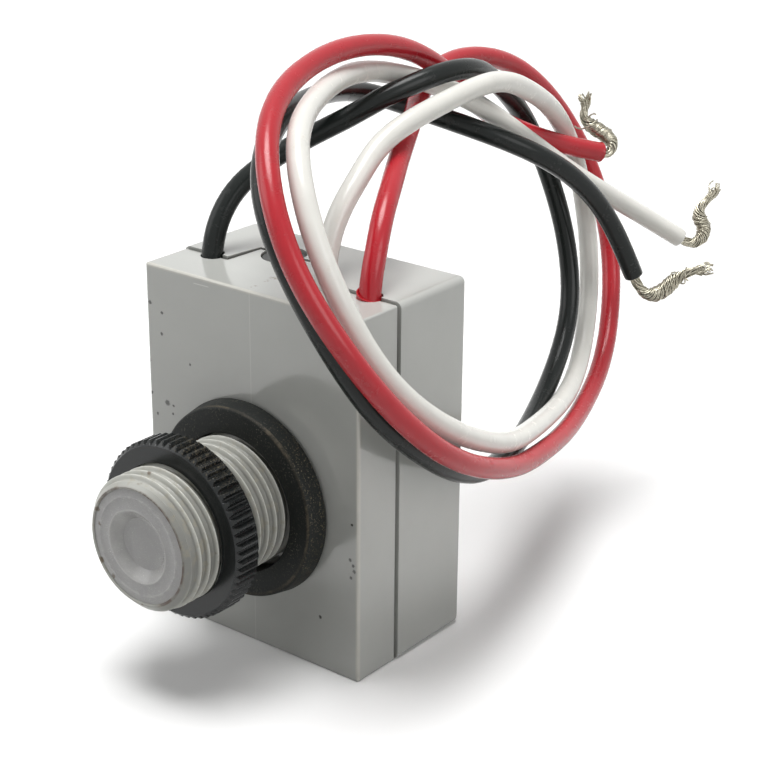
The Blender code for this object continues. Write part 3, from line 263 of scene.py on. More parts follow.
def adds_math(operation, swapped=False):
    """A method for one of Python's operators that adds a Math node."""

    def method(self, other):
        pair = (other, self) if swapped else (self, other)
        return self.tree.math(operation, *pair)

    return method


class Value:
    """A node's output on which Python's arithmetic adds Math nodes."""

    def __init__(self, tree, socket):
        self.tree = tree
        self.socket = socket

    __add__ = __radd__ = adds_math("ADD")
    __sub__ = adds_math("SUBTRACT")
    __rsub__ = adds_math("SUBTRACT", True)
    __mul__ = __rmul__ = adds_math("MULTIPLY")
    __truediv__ = adds_math("DIVIDE")
    __gt__ = adds_math("GREATER_THAN")
    __lt__ = adds_math("LESS_THAN")

    def __abs__(self):
        return self.tree.math("ABSOLUTE", self)


class Tree:
    """The nodes of one material or one geometry tree."""

    def __init__(self, nodes):
        self.nodes = nodes

    def node(self, kind, settings=None, sockets=None):
        """Add a node, set its settings and then its sockets' values or links."""
        node = self.nodes.nodes.new(kind)
        for name, value in (settings or {}).items():
            if name == "stops":
                self.set_stops(node.color_ramp, value)
            else:
                setattr(node, name, value)
        for name, value in (sockets or {}).items():
            if isinstance(value, Value):
                self.nodes.links.new(value.socket, node.inputs[name])
            else:
                node.inputs[name].default_value = value
        return node

    def set_stops(self, ramp, stops):
        while len(ramp.elements) < len(stops):
            ramp.elements.new(0.5)
        for element, (position, colour) in zip(ramp.elements, stops):
            element.position = position
            element.color = colour

    def read(self, node, output=0):
        return Value(self, node.outputs[output])

    def output(self, kind, settings=None, sockets=None, output=0):
        """Add a node and give one of its outputs."""
        return self.read(self.node(kind, settings, sockets), output)

    def math(self, operation, *values):
        sockets = dict(enumerate(values))
        return self.output("ShaderNodeMath", {"operation": operation}, sockets)

    def vector(self, operation, sockets, output=0):
        return self.output("ShaderNodeVectorMath", {"operation": operation}, sockets, output=output)

    def ease(self, value, start, end):
        """0 before start, 1 after end, smooth between them. start may be the larger."""
        low, high, first, last = (start, end, 0.0, 1.0) if start < end else (end, start, 1.0, 0.0)
        sockets = {"Value": value, "From Min": low, "From Max": high, "To Min": first, "To Max": last}
        return self.output("ShaderNodeMapRange", {"interpolation_type": "SMOOTHSTEP"}, sockets)

    def length(self, across, up):
        return self.math("SQRT", across * across + up * up)

    def smaller(self, first, second):
        return self.math("MINIMUM", first, second)

    def larger(self, first, second):
        return self.math("MAXIMUM", first, second)

    def seen(self):
        """1 for what the camera sees, directly, in a reflection or through clear plastic."""
        path = self.node("ShaderNodeLightPath")
        seen = self.larger(self.read(path, "Is Camera Ray"), self.read(path, "Is Transmission Ray"))
        return self.larger(seen, self.read(path, "Is Glossy Ray"))

    def parts(self, vector):
        """The x, y and z of a vector."""
        split = self.node("ShaderNodeSeparateXYZ", None, {"Vector": vector})
        return [self.read(split, axis) for axis in "XYZ"]


class Finish(Tree):
    """A material whose Principled shader takes plain values, and links where something varies."""

    def __init__(self, name, **constants):
        self.material = bpy.data.materials.new(name)
        self.material.use_nodes = True
        super().__init__(self.material.node_tree)
        self.shader = self.nodes.nodes["Principled BSDF"]
        self.set(**constants)
        self.place = self.output("ShaderNodeTexCoord", output="Object")

    def set(self, **values):
        for name, value in values.items():
            socket = self.shader.inputs[name.replace("_", " ")]
            if isinstance(value, Value):
                self.nodes.links.new(value.socket, socket)
            elif hasattr(value, "__len__") and len(value) == 3:
                socket.default_value = (*value, 1.0)
            else:
                socket.default_value = value

    def noise(self, size, detail=2.0, roughness=0.5, place=None):
        """Noise with features of about that size in metres, from 0 to 1."""
        place = place or self.place
        sockets = {"Vector": place, "Scale": 1.0 / size, "Detail": detail, "Roughness": roughness}
        return self.output("ShaderNodeTexNoise", None, sockets)

    def patches(self, low, high, size, *kind):
        """Patches of noise: 0 where it is under the low level, 1 where it is over the high one."""
        return self.ease(self.noise(size, *kind), low, high)

    def stretched(self, scale):
        """The surface's coordinates stretched by a factor along each axis."""
        return self.output("ShaderNodeMapping", None, {"Vector": self.place, "Scale": scale})

    def mix(self, first, second, factor):
        """A colour between two others."""
        first, second = (value if isinstance(value, Value) else (*value, 1.0) for value in (first, second))
        sockets = {0: factor, 6: first, 7: second}
        return self.output("ShaderNodeMix", {"data_type": "RGBA"}, sockets, output=2)

    def vary(self, colour, darker, lighter, factor):
        """A colour that wanders between two tints of itself."""
        return self.mix(self.tint(colour, darker), self.tint(colour, lighter), factor)

    def bump(self, height, distance, strength=1.0):
        sockets = {"Height": height, "Distance": distance, "Strength": strength}
        self.set(Normal=self.output("ShaderNodeBump", None, sockets))

    def spot(self, centre, radius, softness=0.4):
        """1 within a round spot about a point, 0 outside it."""
        away = self.vector("DISTANCE", {0: self.place, 1: centre}, "Value")
        return self.ease(away, radius * (1 + softness), radius * (1 - softness))

    def specks(self, places):
        """1 within any of some small ragged spots, each given as a point and a radius."""
        ragged = self.noise(0.4 * MM, 3.0) * (0.5 * MM) - 0.25 * MM
        mask = None
        for centre, radius in places:
            away = self.vector("DISTANCE", {0: self.place, 1: centre}, "Value") + ragged
            spot = self.ease(away, radius * 1.3, radius * 0.6)
            mask = spot if mask is None else self.larger(mask, spot)
        return mask

    def from_axis(self):
        """Distance from the nipple's axis."""
        x, y, z = self.parts(self.place)
        return self.length(x - NIPPLE_X, z - NIPPLE_Z)

    def tint(self, colour, factor):
        """A colour made darker or lighter, kept below white."""
        return [min(1.0, channel * factor) for channel in colour]


class Recipe(Tree):
    """A Geometry Nodes tree with named inputs, run on an object and turned into a plain mesh."""

    SOCKETS = {"value": "NodeSocketFloat", "count": "NodeSocketInt", "material": "NodeSocketMaterial"}

    def __init__(self, name, values, counts=""):
        group = bpy.data.node_groups.new(name, "GeometryNodeTree")
        super().__init__(group)
        group.interface.new_socket("Geometry", in_out="INPUT", socket_type="NodeSocketGeometry")
        for labels, kind in ((values, "value"), (counts, "count"), ("Material", "material")):
            for label in labels.split():
                group.interface.new_socket(label, in_out="INPUT", socket_type=self.SOCKETS[kind])
        group.interface.new_socket("Geometry", in_out="OUTPUT", socket_type="NodeSocketGeometry")
        self.given = self.node("NodeGroupInput")
        self.result = self.node("NodeGroupOutput")

    def input(self, name):
        return self.read(self.given, name)

    def geometry(self, kind, settings=None, **sockets):
        """Add a geometry node by its short name and give its first output."""
        sockets = {name.replace("_", " "): value for name, value in sockets.items()}
        return self.output(f"GeometryNode{kind}", settings, sockets)

    def end(self, geometry):
        whole = self.geometry("RealizeInstances", Geometry=geometry)
        dressed = self.geometry("SetMaterial", Geometry=whole, Material=self.input("Material"))
        self.nodes.links.new(dressed.socket, self.result.inputs[0])

    def run(self, obj, **values):
        step = obj.modifiers.new(self.nodes.name, "NODES")
        step.node_group = self.nodes
        for item in self.nodes.interface.items_tree:
            if item.in_out == "INPUT" and item.name in values:
                step[item.identifier] = values[item.name]


class AxisRecipe(Recipe):
    """A recipe that moves points towards or away from an axis along Y, through Axis_X and Axis_Z."""

    def __init__(self, name, values, counts=""):
        super().__init__(name, values, counts)
        x, self.along, z = self.parts(self.geometry("InputPosition"))
        self.across = x - self.input("Axis_X")
        self.up = z - self.input("Axis_Z")
        self.radius = self.length(self.across, self.up)
        self.turn = self.math("ARCTAN2", self.up, self.across) / (2 * math.pi)

    def reshape(self, wanted, selection=True):
        """Put the chosen points at another radius, and end the tree."""
        share = wanted / self.radius
        x = self.input("Axis_X") + self.across * share
        z = self.input("Axis_Z") + self.up * share
        place = self.output("ShaderNodeCombineXYZ", None, {"X": x, "Y": self.along, "Z": z})
        whole = self.input("Geometry")
        self.end(self.geometry("SetPosition", Geometry=whole, Selection=selection, Position=place))


def link(name, data):
    obj = bpy.data.objects.new(name, data)
    bpy.context.scene.collection.objects.link(obj)
    return obj


def from_bmesh(name, bm):
    mesh = bpy.data.meshes.new(name)
    bm.to_mesh(mesh)
    bm.free()
    return link(name, mesh)


def plain(obj, material=None, smooth_angle=None):
    """Turn an object with its modifiers into a plain mesh at the origin, and drop its cutters."""
    bpy.context.view_layer.update()
    graph = bpy.context.evaluated_depsgraph_get()
    mesh = bpy.data.meshes.new_from_object(obj.evaluated_get(graph), depsgraph=graph)
    mesh.transform(obj.matrix_world)
    tools = [step.object for step in obj.modifiers if step.type == "BOOLEAN"]
    name = obj.name
    bpy.data.objects.remove(obj)
    for tool in tools:
        if tool is not None:
            bpy.data.objects.remove(tool)
    mesh.name = name
    if smooth_angle is not None:
        mesh.shade_smooth()
        mesh.set_sharp_from_angle(angle=math.radians(smooth_angle))
    if material is not None:
        mesh.materials.clear()
        mesh.materials.append(material)
    return link(name, mesh)


def present(obj, body, slot, *nodes):
    """Let a finished piece ride on a body and stand for its CAD nodes; the slot it is given is not used."""
    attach(obj, body)
    if nodes:
        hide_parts(*nodes)


def block(name, low, high, edge=0.0, segments=6, open_y=None):
    """A box between two corners with rounded edges, sharp round the end at open_y."""
    low, high = Vector(low), Vector(high)
    bm = bmesh.new()
    matrix = Matrix.Translation((low + high) / 2) @ Matrix.Diagonal((*(high - low), 1))
    bmesh.ops.create_cube(bm, size=1.0, matrix=matrix)
    if edge > 0:
        edges = [e for e in bm.edges if not all(abs(v.co.y - open_y) < 0.01 * MM for v in e.verts)]
        bmesh.ops.bevel(bm, geom=edges, offset=edge, segments=segments, profile=0.5, affect="EDGES")
    return from_bmesh(name, bm)


def turned(name, profile, centre, axis, facets):
    """A closed turned piece from (radius, height) points in order; radius 0 closes it at the axis.

    The order runs down the outer side, and heights lie along the axis from the centre.
    """
    out = Vector(axis).normalized()
    side = out.orthogonal().normalized()
    across = out.cross(side)
    bm = bmesh.new()
    rings = []
    for radius, height in profile:
        middle = Vector(centre) + out * height
        if radius == 0:
            rings.append([bm.verts.new(middle)])
            continue
        ring = []
        for step in range(facets):
            angle = 2 * math.pi * step / facets
            ring.append(bm.verts.new(middle + radius * (math.cos(angle) * side + math.sin(angle) * across)))
        rings.append(ring)
    pairs = list(zip(rings, rings[1:]))
    if len(rings[0]) > 1:
        pairs.append((rings[-1], rings[0]))
    for upper, lower in pairs:
        for step in range(facets):
            after = (step + 1) % facets
            corners = [upper[step % len(upper)], lower[step % len(lower)]]
            corners += [lower[after % len(lower)], upper[after % len(upper)]]
            bm.faces.new(list(dict.fromkeys(corners)))
    bmesh.ops.recalc_face_normals(bm, faces=bm.faces)
    return from_bmesh(name, bm)


def rod(radius, high, low):
    """The profile of a plain rod between two heights."""
    return [(0, high), (radius, high), (radius, low), (0, low)]


def arc(centre_r, centre_h, radius, start, end, count=5):
    """Points of a rounded corner in a turned profile, between two angles in degrees."""
    angles = [math.radians(start + (end - start) * step / count) for step in range(count + 1)]
    return [(centre_r + radius * math.cos(a), centre_h + radius * math.sin(a)) for a in angles]


def combine(obj, tool, operation="DIFFERENCE", solver="EXACT"):
    step = obj.modifiers.new(operation.lower(), "BOOLEAN")
    step.operation = operation
    step.object = tool
    step.solver = solver
    tool.hide_render = True


def smooth_route(points, step):
    """Points a step apart along a natural cubic spline through the route's own points."""
    points = np.array(points, dtype=float)
    gaps = np.linalg.norm(np.diff(points, axis=0), axis=1)
    knots = np.concatenate([[0.0], np.cumsum(gaps)])
    count = len(points)
    system = np.zeros((count, count))
    target = np.zeros((count, 3))
    system[0, 0] = system[-1, -1] = 1.0
    for i in range(1, count - 1):
        system[i, i - 1 : i + 2] = gaps[i - 1], 2 * (gaps[i - 1] + gaps[i]), gaps[i]
        after = (points[i + 1] - points[i]) / gaps[i]
        before = (points[i] - points[i - 1]) / gaps[i - 1]
        target[i] = 6 * (after - before)
    bend = np.linalg.solve(system, target)
    stations = np.linspace(0.0, knots[-1], max(2, round(knots[-1] / step)) + 1)
    route = []
    for station in stations:
        i = min(int(np.searchsorted(knots, station, side="right")) - 1, count - 2)
        gap = gaps[i]
        near = (knots[i + 1] - station) / gap
        far = (station - knots[i]) / gap
        place = near * points[i] + far * points[i + 1]
        place = place + ((near**3 - near) * bend[i] + (far**3 - far) * bend[i + 1]) * gap**2 / 6
        route.append(Vector(place))
    return route


def wire(name, points, radius, resolution):
    """A round wire with flat ends through the points."""
    curve = bpy.data.curves.new(name, "CURVE")
    curve.dimensions = "3D"
    curve.bevel_depth = radius
    curve.bevel_resolution = resolution
    curve.use_fill_caps = True
    spline = curve.splines.new("POLY")
    spline.points.add(len(points) - 1)
    for point, place in zip(spline.points, points):
        point.co = (*place, 1.0)
    spline.use_smooth = True
    return link(name, curve)


# Soils and worn places, with painted shade and painted highlights among them
SOOT = (0.03, 0.028, 0.025)
HAND_DIRT = (0.13, 0.11, 0.08)
# grime with painted shade, for the walls of the slot round the tongue
SLOT_GRIME_AND_SHADE = (0.09, 0.083, 0.07)
TOP_DUST = (0.2, 0.16, 0.1)
# pale cream for the front shell's edges, partly wear and partly painted highlight
WORN_EDGE_AND_HIGHLIGHT = (0.66, 0.63, 0.55)
THREAD_FILM = (0.33, 0.3, 0.22)
THREAD_GRIME = (0.16, 0.12, 0.08)
SEAT_BROWN = (0.07, 0.04, 0.025)
STAIN_BROWN = (0.14, 0.1, 0.06)
BORE_SHADE = (0.2, 0.2, 0.205)
LENS_SPECK = (0.3, 0.24, 0.17)
LENS_CLOUDS = ((0.39, 0.385, 0.39), (0.48, 0.475, 0.46))
# painted highlights on the lens: its dish wall, then the lines round its rings
LENS_WALL_HIGHLIGHT = (0.56, 0.555, 0.535)
LENS_RING_HIGHLIGHT = (0.62, 0.61, 0.59)
RUBBER_DUST = (0.19, 0.18, 0.145)
RUBBER_RIM = (0.12, 0.1, 0.07)
RUBBER_SIDE = (0.17, 0.14, 0.08)
KNURL_DUST = (0.34, 0.28, 0.18)
TARNISH = (0.12, 0.108, 0.08)
PLUG_GREYS = ((0.038, 0.04, 0.04), (0.06, 0.062, 0.06))
LEAD_SOILS = {"black": (0.05, 0.05, 0.047), "white": (0.55, 0.49, 0.4), "red": (0.2, 0.01, 0.012)}
LEAD_GLOSSES = {"black": 0.22, "white": 0.5, "red": 0.42}

# How wide each lead's cut end is as a share of its radius, and the draw for its strands
CUT_LIPS = {"black": 0.97, "white": 0.97, "red": 1.05}
STRAND_SEEDS = {"black": 3, "white": 5, "red": 8}
# Where the strands start inside the insulation and where they leave it, from the stripped end
STRAND_START = 0.3 * MM
STRAND_NECK = SEAT_GAP + 0.85 * MM
STRAND_POINTS = 110

# Where the slot round the tongue lies
SPLIT_DEPTH = 8.85 * MM
SLOT_LEFT = -13.5 * MM
SLOT_RIGHT = 5.2 * MM
SLOT_BACK = 16.1 * MM
SLOT_DEPTH = 4.5 * MM

# Dark specks on the front face, in millimetres: across, up and radius
FRONT_SPECKS = [
    (-17.5, 36.2, 0.5), (-16.2, 36.0, 0.24), (-20.5, 52.3, 0.34), (-18.0, 51.1, 0.28), (-18.2, 47.6, 0.28),
    (-20.9, 37.1, 0.3), (-19.7, 33.8, 0.24), (-16.4, 34.6, 0.22), (20.0, 26.4, 0.24), (19.6, 20.5, 0.3),
    (20.2, 19.7, 0.28), (20.4, 18.8, 0.34), (19.8, 17.6, 0.26), (13.7, 8.8, 0.32), (-12.3, 43.9, 0.22),
    (-21.0, 42.6, 0.26),
]
# Brown dirt on the top, in millimetres: across, back from the front face and radius
TOP_DIRT = [(-0.8, 6.9, 0.8), (-0.9, 5.2, 0.5), (0.0, 7.2, 0.6), (-0.5, 2.4, 0.26), (-0.7, 1.7, 0.24)]

# The moulding line and the scratch on the front face
WELD_LINE_X = 0.3 * MM
SCRATCH_MIDDLE = (-9.5 * MM, FRONT_Y, 57.5 * MM)
SCRATCH_HALF = 1.8 * MM
SCRATCH_SLOPE = 0.02


def shell_plastic(name, colour, front_half=False):
    """Glossy moulded plastic with handling dirt and painted shade in the slot; on the front shell its specks,
    scratch and pale edges of wear and painted highlight.
    """
    finish = Finish(name, Specular_IOR_Level=0.7)
    clouds = finish.noise(7 * MM, 3.0)
    tone = finish.vary(colour, 0.95, 1.03, clouds)
    fine = finish.patches(0.64, 0.72, 0.55 * MM, 6.0, 0.75)
    dirt = fine * finish.patches(0.46, 0.64, 8 * MM, 2.0)
    tone = finish.mix(tone, HAND_DIRT, dirt * 0.55)
    scuffs = finish.patches(0.6, 0.72, 1.1 * MM, 5.0, 0.7, finish.stretched((1.0, 1.0, 0.2)))
    if front_half:
        tone = add_front_marks(finish, tone, colour)
    tone = add_slot_dirt_and_shade(finish, tone, front_half)
    finish.set(Base_Color=tone, Roughness=0.1 + scuffs * 0.12 + dirt * 0.35 + clouds * 0.04)
    finish.bump(finish.noise(5 * MM, 2.0) + finish.noise(0.3 * MM, 2.0) * 0.04, 0.06 * MM, 0.12)
    return finish.material


def add_slot_dirt_and_shade(finish, tone, front_half):
    """Grime and painted shade down the walls of the slot round the tongue."""
    x, y, z = finish.parts(finish.place)
    below = finish.ease(z, (FRONT_HIGH.z if front_half else REAR_HIGH.z) - 0.02 * MM, FRONT_HIGH.z - 0.2 * MM)
    behind = y > FRONT_Y + SPLIT_DEPTH + (0.0 if front_half else 0.5 * MM)
    beside = (x > SLOT_LEFT) * (x < SLOT_RIGHT) * (y < FRONT_Y + SLOT_BACK)
    shallow = z > FRONT_HIGH.z - SLOT_DEPTH
    # painted shade with some grime: the slot's walls are darkened where they lie in shade
    return finish.mix(tone, SLOT_GRIME_AND_SHADE, below * behind * beside * shallow * 0.9)


def add_front_marks(finish, tone, colour):
    """The front shell's specks, top dust, weld line, scratch and pale edges, partly wear and partly painted
    highlight.
    """
    x, y, z = finish.parts(finish.place)
    on_front = y < FRONT_Y + 0.1 * MM
    specks = finish.specks([((a * MM, FRONT_Y, b * MM), r * MM) for a, b, r in FRONT_SPECKS])
    tone = finish.mix(tone, SOOT, specks * 0.9)
    dirt = finish.specks([((a * MM, FRONT_Y + b * MM, FRONT_HIGH.z), r * MM) for a, b, r in TOP_DIRT])
    grit = finish.patches(0.45, 0.6, 0.35 * MM, 3.0, 0.7)
    tone = finish.mix(tone, TOP_DUST, dirt * grit * 0.8)
    line = finish.ease(abs(x - WELD_LINE_X), 0.11 * MM, 0.04 * MM) * on_front
    tone = finish.mix(tone, finish.tint(colour, 1.3), line * 0.55)
    along = finish.ease(abs(x - SCRATCH_MIDDLE[0]), SCRATCH_HALF, SCRATCH_HALF * 0.7)
    level = abs(z - SCRATCH_MIDDLE[2] - (x - SCRATCH_MIDDLE[0]) * SCRATCH_SLOPE)
    scratch = along * finish.ease(level, 0.12 * MM, 0.04 * MM) * on_front
    tone = finish.mix(tone, finish.tint(colour, 1.5), scratch * 0.7)
    to_edge = abs(y - FRONT_Y) + finish.smaller(FRONT_HIGH.z - z, FRONT_HIGH.x - x)
    worn_and_lit = finish.ease(to_edge, 0.7 * MM, 0.25 * MM) * (0.5 + finish.noise(2 * MM, 3.0) * 0.6)
    # painted highlight with some wear: a pale line along the front shell's top and right edges
    return finish.mix(tone, WORN_EDGE_AND_HIGHLIGHT, worn_and_lit * 0.6)


def plug_plastic():
    """Dark grey plug, dulled by fine scratches."""
    finish = Finish("plug_plastic", Specular_IOR_Level=0.3)
    grain = finish.noise(1.5 * MM, 4.0, 0.6)
    tone = finish.mix(*PLUG_GREYS, grain)
    finish.set(Base_Color=tone, Roughness=0.35 + grain * 0.2)
    finish.bump(grain, 0.02 * MM, 0.2)
    return finish.material


# Brown stains on the nipple, in millimetres from the front face's bottom middle, and their radius
NIPPLE_STAINS = [
    (-0.6, -23.1, 35.9, 0.55), (-1.3, -20.2, 35.9, 0.45), (-8.9, -23.9, 29.2, 0.45),
    (-8.6, -23.8, 26.9, 0.32), (-8.5, -23.9, 21.0, 0.45), (-6.2, -23.8, 19.0, 0.38),
    (-0.2, -23.9, 16.0, 0.4), (6.9, -20.7, 32.3, 0.35), (9.5, -18.5, 25.6, 0.28),
]


def add_stains(finish, tone):
    """The brown stains, which lie across the nipple and its lens."""
    stains = finish.specks([(Vector(place) * MM + ROUTE_ORIGIN, r * MM) for *place, r in NIPPLE_STAINS])
    return finish.mix(tone, STAIN_BROWN, stains * 0.85)


def nipple_plastic(colour):
    """The nipple's plastic: paler, with grime, painted shade in the thread's roots, heaviest on its right
    side, painted highlight on the crests and a brown line beside the lens.
    """
    finish = Finish("nipple_plastic")
    x, y, z = finish.parts(finish.place)
    radius = finish.from_axis()
    clouds = finish.noise(2.5 * MM, 3.0)
    tone = finish.vary(colour, 0.95, 1.04, clouds)
    right_side = finish.ease(x - NIPPLE_X, 1 * MM, 7 * MM)
    root = finish.ease(radius, 10.45 * MM, 10.0 * MM)
    # painted shade: the thread's roots darkened, most on the nipple's right side
    tone = finish.mix(tone, finish.tint(colour, 0.45), root * (0.2 + clouds * 0.2 + right_side * 0.6))
    crest = finish.ease(radius, 10.5 * MM, 10.62 * MM)
    # painted highlight: the thread's crests tinted lighter
    tone = finish.mix(tone, finish.tint(colour, 1.35), crest * 0.55)
    film = finish.patches(0.5, 0.7, 1.6 * MM, 4.0, 0.65)
    tone = finish.mix(tone, THREAD_FILM, film * 0.5)
    grime = finish.patches(0.65, 0.73, 0.6 * MM, 5.0, 0.75)
    tone = finish.mix(tone, THREAD_GRIME, grime * 0.7)
    at_tip = y < FRONT_LOW.y + 0.7 * MM
    seat = finish.ease(radius, 9.5 * MM, 9.25 * MM) * at_tip
    patchy = finish.patches(0.4, 0.55, 2.2 * MM, 4.0, 0.6)
    upper_left = finish.ease(z - NIPPLE_Z, 3 * MM, 7 * MM)
    brown = seat * finish.smaller(0.12 + right_side * 0.95 + upper_left * 0.7, 1.0) * (0.35 + patchy * 0.65)
    tone = finish.mix(tone, SEAT_BROWN, brown)
    tone = add_stains(finish, tone)
    inside = finish.ease(radius, 8.7 * MM, 8.5 * MM)
    tone = finish.mix(tone, BORE_SHADE, inside)
    finish.set(Base_Color=tone, Roughness=0.24 + clouds * 0.12 + grime * 0.2)
    finish.bump(finish.noise(0.4 * MM, 2.0), 0.012 * MM, 0.25)
    return finish.material


def clear_plastic():
    """The lens: clear moulding gone cloudy, with painted highlight down the wall of its dish and round its
    rings, scuffed and speckled.
    """
    finish = Finish("clear_lens", Transmission_Weight=0.22, IOR=1.49)
    radius = finish.from_axis()
    haze = finish.noise(1.6 * MM, 4.0, 0.6)
    scuffs = finish.patches(0.56, 0.7, 0.3 * MM, 5.0, 0.75, finish.stretched((1.0, 1.0, 3.0)))
    specks = finish.patches(0.66, 0.74, 0.6 * MM, 5.0, 0.75)
    tone = finish.mix(*LENS_CLOUDS, haze)
    wall = finish.ease(radius, 3.9 * MM, 4.4 * MM) * finish.ease(radius, 5.7 * MM, 5.4 * MM)
    # painted highlight down the wall of the dish
    tone = finish.mix(tone, LENS_WALL_HIGHLIGHT, wall * (0.25 + haze * 0.4))
    ring = finish.ease(abs(radius - 5.7 * MM), 0.22 * MM, 0.08 * MM)
    outer = finish.ease(abs(radius - OUTER_RING), 0.3 * MM, 0.1 * MM) * finish.ease(haze, 0.45, 0.6)
    # painted highlight: pale lines round the dish's rim and the outer ring
    tone = finish.mix(tone, LENS_RING_HIGHLIGHT, finish.larger(ring * 0.5, outer * 0.35))
    tone = finish.mix(tone, LENS_SPECK, specks * 0.5)
    tone = add_stains(finish, tone)
    finish.set(Base_Color=tone, Roughness=0.14 + haze * 0.12 + scuffs * 0.2)
    finish.bump(haze + scuffs * 0.25, 0.05 * MM, 0.4)
    return finish.material


def black_rubber(colour):
    """Gasket rubber under dust, greyer along its front edge and brown in places round its rim."""
    finish = Finish("black_rubber", Specular_IOR_Level=0.2)
    x, y, z = finish.parts(finish.place)
    radius = finish.from_axis()
    at_front = y < GASKET_LOW.y + 0.5 * MM
    rim = finish.ease(abs(radius - 15.25 * MM), 0.35 * MM, 0.1 * MM) * at_front
    dust = finish.patches(0.56, 0.64, 0.32 * MM, 4.0, 0.75)
    patches = finish.patches(0.42, 0.62, 5 * MM, 3.0)
    tone = finish.mix(colour, RUBBER_DUST, dust * (0.2 + patches * 0.35))
    streaks = finish.patches(0.45, 0.62, 3 * MM, 4.0, 0.7)
    tone = finish.mix(tone, RUBBER_RIM, rim * (0.15 + streaks * 0.5))
    side = finish.ease(radius, 15.0 * MM, 15.7 * MM) * finish.ease(x - NIPPLE_X, 4 * MM, 12 * MM)
    tone = finish.mix(tone, RUBBER_SIDE, side * dust * 0.55)
    finish.set(Base_Color=tone, Roughness=0.55 + dust * 0.3)
    finish.bump(finish.noise(0.35 * MM, 4.0, 0.7), 0.05 * MM, 0.5)
    return finish.material


def nut_nylon(colour):
    """Black nylon, satin, with pale dust caught in the knurl on its upper right."""
    finish = Finish("black_nylon", Specular_IOR_Level=0.34)
    radius = finish.from_axis()
    dust = finish.patches(0.48, 0.66, 0.4 * MM, 5.0, 0.8)
    corner = finish.spot((NIPPLE_X + 6 * MM, NUT_HIGH.y, NIPPLE_Z + 13 * MM), 5.5 * MM, 0.7)
    knurl = finish.ease(radius, 13.3 * MM, 13.7 * MM)
    tone = finish.mix(colour, KNURL_DUST, dust * knurl * (0.03 + corner * 0.35))
    finish.set(Base_Color=tone, Roughness=0.22 + dust * 0.05)
    finish.bump(finish.noise(0.8 * MM, 2.0), 0.01 * MM, 0.3)
    return finish.material


def insulation(name, colour, soil, gloss):
    """Extruded wire insulation: glossy, faintly uneven, soiled here and there."""
    finish = Finish(name, Specular_IOR_Level=gloss)
    ripple = finish.noise(3.5 * MM, 2.0)
    patches = finish.patches(0.56, 0.74, 2.2 * MM, 5.0, 0.7)
    tone = finish.vary(colour, 0.93, 1.06, ripple)
    tone = finish.mix(tone, soil, patches * 0.25)
    finish.set(Base_Color=tone, Roughness=0.18 + ripple * 0.12 + patches * 0.2)
    finish.bump(ripple + finish.noise(0.6 * MM, 2.0) * 0.3, 0.08 * MM, 0.4)
    return finish.material


def tinned_copper(colour):
    """Tinned strands, dull and darker in patches."""
    finish = Finish("tinned_copper", Metallic=1.0)
    tarnish = finish.patches(0.42, 0.66, 0.7 * MM, 4.0, 0.7)
    tone = finish.mix(finish.tint(colour, 1.2), TARNISH, tarnish * 0.7)
    finish.set(Base_Color=tone, Roughness=0.24 + tarnish * 0.12)
    return finish.material


def inner_finish(name, colour, roughness, metallic=0.0):
    """Finish of a piece inside the box: its plain colour with slight unevenness."""
    finish = Finish(name, Metallic=metallic)
    grain = finish.noise(0.8 * MM, 3.0)
    finish.set(Base_Color=finish.vary(colour, 0.88, 1.08, grain))
    finish.set(Roughness=roughness - 0.06 + grain * 0.12)
    finish.bump(grain, 0.01 * MM, 0.3)
    return finish.material


# Each inner finish: colour, roughness, how metallic, and the CAD nodes that wear it
INNER_FINISHES = {
    "holder_plastic": ((0.62, 0.62, 0.59), 0.5, 0.0, "cell_holder"),
    "cell_resin": ((0.55, 0.3, 0.1), 0.35, 0.0, "photocell"),
    "tinned_wire": ((0.7, 0.7, 0.68), 0.3, 1.0, "cell_wire_left cell_wire_right"),
    "base_board": ((0.16, 0.08, 0.04), 0.5, 0.0, "switch_base"),
    "tinned_brass": (
        (0.75, 0.72, 0.66),
        0.3,
        1.0,
        "terminal_black terminal_white terminal_red heater_post_left heater_post_right",
    ),
    "steel": ((0.78, 0.76, 0.72), 0.3, 1.0, "rivet_black rivet_white rivet_red blade_rivet adjusting_screw"),
    "brass": ((0.72, 0.55, 0.25), 0.3, 1.0, "contact_bracket blade_bracket"),
    "bimetal": ((0.7, 0.66, 0.6), 0.3, 1.0, "bimetal_blade"),
    "silver_contact": ((0.9, 0.88, 0.84), 0.25, 1.0, "fixed_contact moving_contact"),
    "ceramic": ((0.75, 0.73, 0.68), 0.6, 0.0, "heater_resistor"),
    "blue_coating": ((0.1, 0.2, 0.45), 0.4, 0.0, "surge_arrester"),
}


